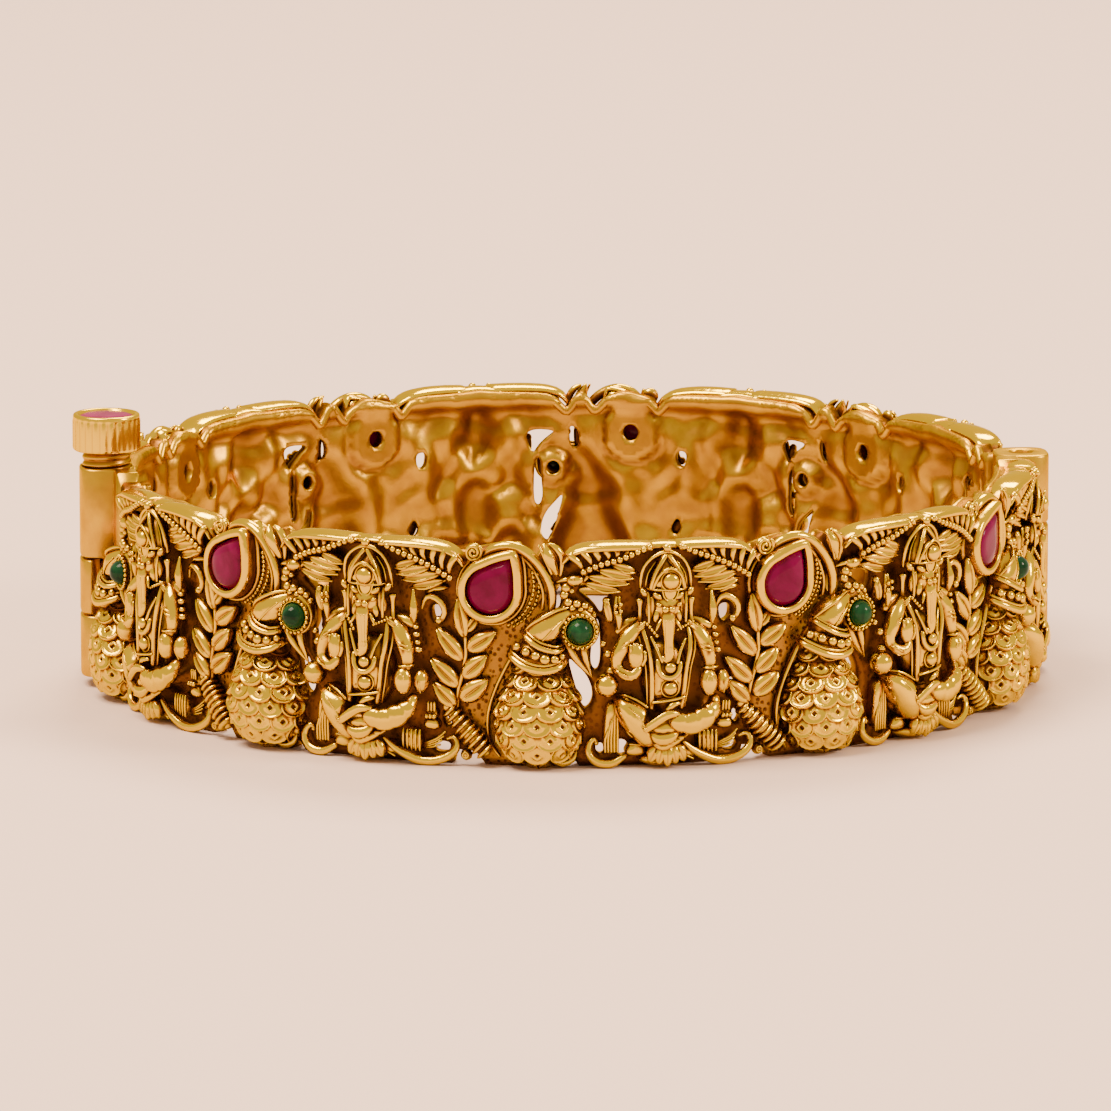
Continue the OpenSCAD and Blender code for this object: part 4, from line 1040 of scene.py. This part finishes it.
def piercedWall():
    rim, holes = wallOutlines()
    step, rowStep = wall["grid"], wall["grid"] * wall["rowStep"]
    x, y = np.meshgrid(np.arange(wallStart + 0.3, wallEnd - 0.2, step), np.arange(0.3, 15.2, rowStep))
    inner = np.stack([x.ravel() + 0.5 * step * (np.round(y.ravel() / rowStep) % 2), y.ravel()], 1)
    near = np.linalg.norm(inner[:, None] - rim[None, ::2], axis=2).min(1)
    keep = insideOf(inner, rim) & (near > wall["clearOfRim"])
    for hole in holes:
        centre = hole.mean(0)
        keep &= ~insideOf(inner, centre + (hole - centre) * wall["clearOfHoles"])
    fixed, start = [], 0
    for shape in [rim] + holes:
        fixed += [(start + k, start + (k + 1) % len(shape)) for k in range(len(shape))]
        start += len(shape)
    flat = np.vstack([rim] + holes + [inner[keep]])
    found = delaunay_2d_cdt([Vector(p) for p in flat.tolist()], fixed, [], 0, 1e-5)
    flat = np.array([[v.x, v.y] for v in found[0]])
    faces = np.array([f for f in found[2] if len(f) == 3])
    middle = flat[faces].mean(1)
    keep = insideOf(middle, rim)
    for hole in holes:
        keep &= ~insideOf(middle, hole)
    faces = faces[keep]
    used = np.unique(faces)   # only the points that a face uses
    renumber = np.full(len(flat), -1)
    renumber[used] = np.arange(len(used))
    return flat[used], renumber[faces]


def stippled(local):   # the stippled curl between a ruby and the next peacock
    line = curve([q[:3] for q in ruby["curlTo"]] + [ruby["curlEnd"]], 0.3)[:, [0, 2]]
    a = np.where(local[:, 0] < -6, local[:, 0] + unitLength, local[:, 0])
    p = np.stack([a, local[:, 1]], 1)
    near = np.linalg.norm(p[:, None] - line[None], axis=2).min(1)
    return np.clip((wall["curlWide"] - near) / wall["curlFade"], wall["leastStipple"], 1)


# The tubes of the hinge and the clasp: where each is cut into three knuckles, and the webs that join them
tubes = {"half": 1.93, "square": 3.2, "pinBore": 0.85, "neckBore": 1.78, "shankBore": 1.05, "bevel": 0.16,
         "slotTurn": 33, "gap": 0.075, "shankLow": 1.7, "plug": 1.1,
         "hingeTurn": [0.76, 5.7, 10.65, band["high"]],
         "claspTurn": [0.76, 5.2, 9.2, band["high"]], "webFrom": 1.75, "webTo": 3.6, "webInner": 0.2,
         "webOuter": 1.8,
         "webBevel": 0.15}


def web(c, start, end, low, high):   # joins a tube to the wall
    inner, outer, e = tubes["webInner"], tubes["webOuter"], tubes["webBevel"]
    ring = [[inner + e, low], [outer - e, low], [outer, low + e], [outer, high - e], [outer - e, high],
            [inner + e, high], [inner, high - e], [inner, low + e]]
    rings = np.array([[[a, o, u] for o, u in ring] for a in np.linspace(start, end, 6)])
    c.skin(rings, rings[0].mean(0), rings[-1].mean(0))


def knuckleForm(c, low, high, bore, slotted=False):   # a squarish piece of tube round its own axis
    a = np.arange(56) * 2 * math.pi / 56
    if slotted:
        a = np.radians(np.linspace(tubes["slotTurn"], 360 - tubes["slotTurn"], 48))
    k, e, f = tubes["square"], tubes["bevel"], 0.3 * tubes["bevel"]
    r = tubes["half"] / (np.abs(np.cos(a)) ** k + np.abs(np.sin(a)) ** k) ** (1 / k)
    rings = []
    for angle, reach in zip(a, r):
        cut = [[bore, low + 0.05], [bore + 0.05, low], [reach - e, low], [reach - f, low + f],
               [reach, low + e], [reach, (low + high) / 2], [reach, high - e], [reach - f, high - f],
               [reach - e, high], [bore + 0.05, high], [bore, high - 0.05]]
        rings.append([[p * math.cos(angle), p * math.sin(angle), u] for p, u in cut])
    rings = np.array(rings)
    if slotted:
        c.skin(rings, rings[0].mean(0), rings[-1].mean(0))
    else:
        c.loop(rings)


def atTube(points, turn):   # from a tube's own axis to metres round the ring
    t = math.radians(turn)
    x = points[:, 0] * math.cos(t) - (points[:, 1] - band["tubeAt"]) * math.sin(t)
    y = points[:, 0] * math.sin(t) + (points[:, 1] - band["tubeAt"]) * math.cos(t)
    return np.stack([x, y, points[:, 2]], 1) * 0.001


flat, faces = piercedWall()
n = len(flat)
local = np.column_stack([(flat[:, 0] + unitLength / 2) % unitLength - unitLength / 2, flat[:, 1]])
sides = np.sort(np.vstack([faces[:, [0, 1]], faces[:, [1, 2]], faces[:, [2, 0]]]), axis=1)
pairs, counts = np.unique(sides, axis=0, return_counts=True)
border = pairs[counts == 1]
onBorder = np.zeros(n, bool)
onBorder[border.ravel()] = True
ends = np.clip(np.minimum(flat[:, 0] - wallStart, wallEnd - flat[:, 0]) - wall["endFlat"], 0, 1)
dish = onGrid(deep, flat[:, 0], flat[:, 1]) * ends
outInner = np.where(onBorder & (dish < wall["shallow"]), wall["edgeIn"], dish)
outOuter = np.maximum(np.where(onBorder, band["wall"] - wall["edgeOut"], band["wall"]), dish + wall["thin"])
outward = np.tile([[0.0, 1.0, 0.0]], (n, 1))
# how much sky the wall's outside sees past the relief, which paints the relief's shadow and patina there
seen = openness(np.column_stack([local[:, 0], outOuter, local[:, 1]]), outward, tree, rays=wall["rays"])
innerTree = BVHTree.FromPolygons(np.column_stack([flat[:, 0], outInner, flat[:, 1]]).tolist(), faces.tolist())
# how much sky the inner dishes see, which paints shade and patina in them
within = openness(np.column_stack([flat[:, 0], outInner - 0.02, flat[:, 1]]), -outward, innerTree,
                  wall["insideFar"], wall["rays"])
stipple = stippled(local)
print("wall pierced:", len(faces), "faces a side")


def knuckles(key, own):   # low and high ends of one half's knuckles on a tube
    cuts = tubes[key]
    return [(cuts[k] + (tubes["gap"] if k else 0), cuts[k + 1] - (tubes["gap"] if k < 2 else 0))
            for k in range(3) if (k != 1) == own]


def tubeForm(key, own):   # one half's knuckles on a tube, round the tube's axis
    c = Casting()
    for low, high in knuckles(key, own):
        if key == "hingeTurn":
            knuckleForm(c, low, high, tubes["pinBore"])
        elif own and low > 8:
            knuckleForm(c, low, high, tubes["neckBore"])
        elif own:
            knuckleForm(c, low, high, tubes["shankBore"])
            wide, top = tubes["plug"], tubes["shankLow"]
            c.turned([0, 0, 0], [[0.2, low], [wide, low + 0.02], [wide, top], [0.2, top]])
        else:
            knuckleForm(c, low, high, tubes["shankBore"], slotted=True)
    return c


for half, facts in halves.items():
    own = half == "front"
    turn0 = band["firstFigure"] + facts["turn"]
    c = Casting()
    c.rod([[a, 0.4, u - 0.32, wall["lip"]] for a, u in topLine()[1:-1:2]], step=0.8)   # polished lip inside
    joined = (("claspTurn", 1), ("hingeTurn", -1)) if own else (("hingeTurn", 1), ("claspTurn", -1))
    for key, side in joined:
        turn = band[key] + (360 if not own and key == "claspTurn" else 0)
        at = math.radians(turn - turn0) * band["measuredAt"]
        for low, high in knuckles(key, own):
            web(c, at + side * tubes["webFrom"], at + side * tubes["webTo"], low, high)
    webPoints, webQuads, webThrees = c.whole()
    a, b = border[:, 0], border[:, 1]
    allPoints = [bend(np.column_stack([flat[:, 0], out, flat[:, 1]]), turn0) for out in (outOuter, outInner)]
    allPoints.append(bend(webPoints, turn0))
    allQuads = [np.stack([a, b, b + n, a + n], 1), webQuads + 2 * n]
    allThrees = [faces, faces[:, ::-1] + n, webThrees + 2 * n]
    start = 2 * n + len(webPoints)
    for key, side in joined:
        p, q, t = tubeForm(key, own).whole()
        allPoints.append(atTube(p, band[key]))
        allQuads.append(q + start)
        allThrees.append(t + start)
        start += len(p)
    mesh = meshOf(half + "Band", np.vstack(allPoints), np.vstack(allQuads), np.vstack(allThrees))
    # the wall's outside is painted dark in the relief's shadow and kept lighter on the stippled curl, the
    # inside darker in its dishes, and the tubes one even tone: painted shade and patina
    dark, light = wall["openInside"]
    outside = np.maximum(seen * wall["openOutside"], wall["openStipple"] * stipple)
    onTubes = np.full(start - 2 * n, wall["openTubes"])
    addNumber(mesh, "open", np.concatenate([outside, dark + light * within, onTubes]))
    addNumber(mesh, "stipple", np.concatenate([stipple, np.zeros(start - n)]))
    addPiece(half + "Band", mesh, wallGold, facts["body"], [half + "_band"])
print("walls and tubes built")

# The screw of the clasp: fluted knob, threaded neck and plain lower end
screw = {"knob": 2.39, "knobHigh": 2.6, "lift": 1.1, "neck": 1.73, "shank": 1.0, "shoulder": 9.2, "tip": 3.0,
         "flutes": 26, "fluteDepth": 0.07, "pitch": 0.52, "threadDepth": 0.15, "threadFrom": 13.0,
         "threadStep": 0.09,
         "undercut": 0.12, "seat": 1.95, "seatDeep": 0.5, "rim": 0.34,
         "knobSide": [[0.78, 0, 0.0], [0.93, 0, 0.02], [0.985, 0.5, 0.12], [1, 1, 0.26], [1, 1, 1.3],
                      [1, 1, 2.1], [0.99, 0.6, 2.2], [0.985, 0, 2.28], [0.985, 0, 2.42], [0.97, 0, 2.54],
                      [0.94, 0, 2.6], [0.86, 0, 2.6]],   # shares of radius and flute, height
         "openPlain": 0.95, "openKnob": 0.66, "openThread": 0.24, "openRidge": 0.34}
knobFoot = band["high"] + screw["lift"]
knobTop = knobFoot + screw["knobHigh"]


def screwMesh():
    s = screw
    a = np.arange(s["flutes"] * 5) * 2 * math.pi / (s["flutes"] * 5)
    rows = [[0.3, s["tip"]], [0.8, s["tip"]], [1.0, s["tip"] + 0.2]]
    rows += [[s["shank"], u] for u in np.linspace(s["tip"] + 0.5, s["shoulder"] - 0.1, 4)]
    rows.append([s["neck"] - s["undercut"], s["shoulder"]])
    for u in np.arange(s["threadFrom"], knobFoot - 0.07, s["threadStep"]):
        wave = np.abs(((u / s["pitch"] - a / (2 * math.pi)) % 1) - 0.5) * 2
        rows.append([s["neck"] - s["threadDepth"] * wave ** 1.5, u])
    rows.append([s["neck"] - s["undercut"], knobFoot - 0.01])
    wave = np.abs(np.sin(a * s["flutes"] / 2)) ** 0.5
    rows += [[s["knob"] * share - s["fluteDepth"] * cut * (1 - wave), knobFoot + u]
             for share, cut, u in s["knobSide"]]
    floor = knobTop - s["seatDeep"]
    rows += [[s["seat"], knobTop - 0.05], [s["seat"], floor], [0.5, floor]]
    c = Casting()
    c.skin(np.array([np.stack([r * np.cos(a), r * np.sin(a), u + 0 * a], 1) for r, u in rows]),
           [0, 0, s["tip"]], [0, 0, floor])
    points, quads, threes = c.whole()
    mesh = meshOf("claspScrew", atTube(points, band["claspTurn"]), quads, threes)
    # threads and flutes are painted darker in their grooves and lighter on their ridges, the plain parts
    # bright: patina and painted shade
    reach, high = np.hypot(points[:, 0], points[:, 1]), points[:, 2]
    onKnob = high > knobFoot
    least = np.where(onKnob, s["knob"] - s["fluteDepth"], s["neck"] - s["threadDepth"])
    depth = np.where(onKnob, s["fluteDepth"], s["threadDepth"])
    ridge = s["openRidge"] * np.clip((reach - least) / depth, 0, 1)
    plain = (high > knobTop - s["rim"]) | (high < s["shoulder"])
    worked = np.where(onKnob, s["openKnob"], s["openThread"]) + ridge
    addNumber(mesh, "open", np.where(plain, s["openPlain"], worked))
    return mesh


addPiece("claspScrew", screwMesh(), smoothGold, "screw", ["clasp_screw"])

# The stones, each from its foot to its table or crown
stoneCut = {
    "ruby": [(pear(1.45, 2.35), 1.45), (pear(1.62, 2.6), 1.52), (pear(1.62, 2.6), 2.4),
             (pear(1.57, 2.52), 2.5), (pear(1.32, 2.12), 2.76), (pear(1.27, 2.04), 2.8),
             (pear(0.7, 1.1), 2.82)],
    "emerald": [(circle(0.8), 1.72), (circle(0.88), 1.78)]
    + [(circle(0.88 * math.cos(t)), 2.55 + 0.92 * math.sin(t))
       for t in np.radians([0, 12, 25, 38, 52, 66, 80])],
    "knob": [(circle(r, 48), knobTop - deep) for r, deep in (
        (1.8, 0.46), (1.92, 0.42), (1.92, 0.26), (1.86, 0.18), (1.6, 0.09), (1.5, 0.07), (0.8, 0.06))],
}


def stoneForm(cut, place):
    rings = np.array([place(shape, out) for shape, out in stoneCut[cut]])
    c = Casting()
    c.skin(rings, rings[0].mean(0), rings[-1].mean(0))
    return c.whole()


def emeraldPlace(flat, out):
    x, _, z = peacock["emerald"]
    return np.column_stack([x + flat[:, 0], np.full(len(flat), out), z + flat[:, 1]])


def knobPlace(flat, up):
    return np.column_stack([flat, np.full(len(flat), up)])


def setStones(each, cut, name, material, place):   # the same stone in each unit of both halves
    points, quads, threes = stoneForm(cut, place)
    for k in range(2 * each):
        facts = halves["front" if k < each else "back"]
        turn = band["firstFigure"] + facts["turn"] + k % each * band["unitTurn"]
        full = "%s%d" % (name, k + 1)
        addPiece(full, meshOf(full, bend(points, turn), quads, threes), material, facts["body"],
                 ["%s_%d" % (cut, k + 1)])


setStones(4, "ruby", "rubyPear", rubyStone, rubyPlace)
setStones(5, "emerald", "emeraldDrop", emeraldStone, emeraldPlace)
points, quads, threes = stoneForm("knob", knobPlace)
addPiece("knobRuby", meshOf("knobRuby", atTube(points, band["claspTurn"]), quads, threes), knobStone, "screw",
         ["knob_stone"])
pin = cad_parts["hinge_pin"]
pin.data.materials.clear()
pin.data.materials.append(smoothGold)
print("screw and stones set")

# Floor, lights and camera
studio = {"floor": (0.7, 0.55, 0.465), "floorSize": 6, "grain": 900, "sky": (0.95, 0.73, 0.55),
          "skyLight": 1.25,
          "lamp": (1.0, 0.75, 0.56),
          "lamps": [((-0.32, -0.15, 0.75), 15, 0.42), ((0.6, -0.2, 0.4), 5, 0.2), ((0.1, 0.5, 0.6), 8, 0.3)]}
bpy.ops.mesh.primitive_plane_add(size=studio["floorSize"], location=(0, 0, 0))
floor = bpy.context.object
floor.name = "floor"
material, tree, shader = newMaterial("paleFloor")
place = addNode(tree, "TexCoord", {}).outputs["Object"]
grain = addNode(tree, "TexNoise", {"Scale": studio["grain"], "Vector": place})
bump = addNode(tree, "Bump", {"Strength": 0.06, "Distance": 0.0003, "Height": grain.outputs["Fac"]})
tree.links.new(bump.outputs["Normal"], shader["Normal"])
shader["Base Color"].default_value = (*studio["floor"], 1)
shader["Roughness"].default_value = 0.7
floor.data.materials.append(material)

world = bpy.data.worlds.new("studioSky")
bpy.context.scene.world = world
world.use_nodes = True
sky = world.node_tree.nodes["Background"].inputs
sky["Color"].default_value, sky["Strength"].default_value = (*studio["sky"], 1), studio["skyLight"]


def addHolder(name, data, place):   # a lamp or camera that faces the ring's middle
    holder = bpy.data.objects.new(name, data)
    bpy.context.scene.collection.objects.link(holder)
    holder.location = place
    holder.rotation_euler = (-Vector(place)).to_track_quat("-Z", "Y").to_euler()
    return holder


for place, power, size in studio["lamps"]:
    lamp = bpy.data.lights.new("softLamp", "AREA")
    lamp.energy, lamp.size, lamp.color = power, size, studio["lamp"]
    addHolder("softLamp", lamp, place)

view = {"distance": 0.7323, "elevation": 11.21, "lens": 335.6, "shift": (-10 / 1111, 120 / 1111)}
lens = bpy.data.cameras.new("camera")
lens.sensor_width, lens.lens = 36, view["lens"]
lens.shift_x, lens.shift_y = view["shift"]
lens.clip_start, lens.clip_end = 0.01, 20
rise = math.radians(view["elevation"])
viewer = Vector((0, -math.cos(rise), math.sin(rise))) * view["distance"]
bpy.context.scene.camera = addHolder("camera", lens, viewer)
print("studio ready")

for leftover in (flatMesh, endMesh):
    bpy.data.meshes.remove(leftover)
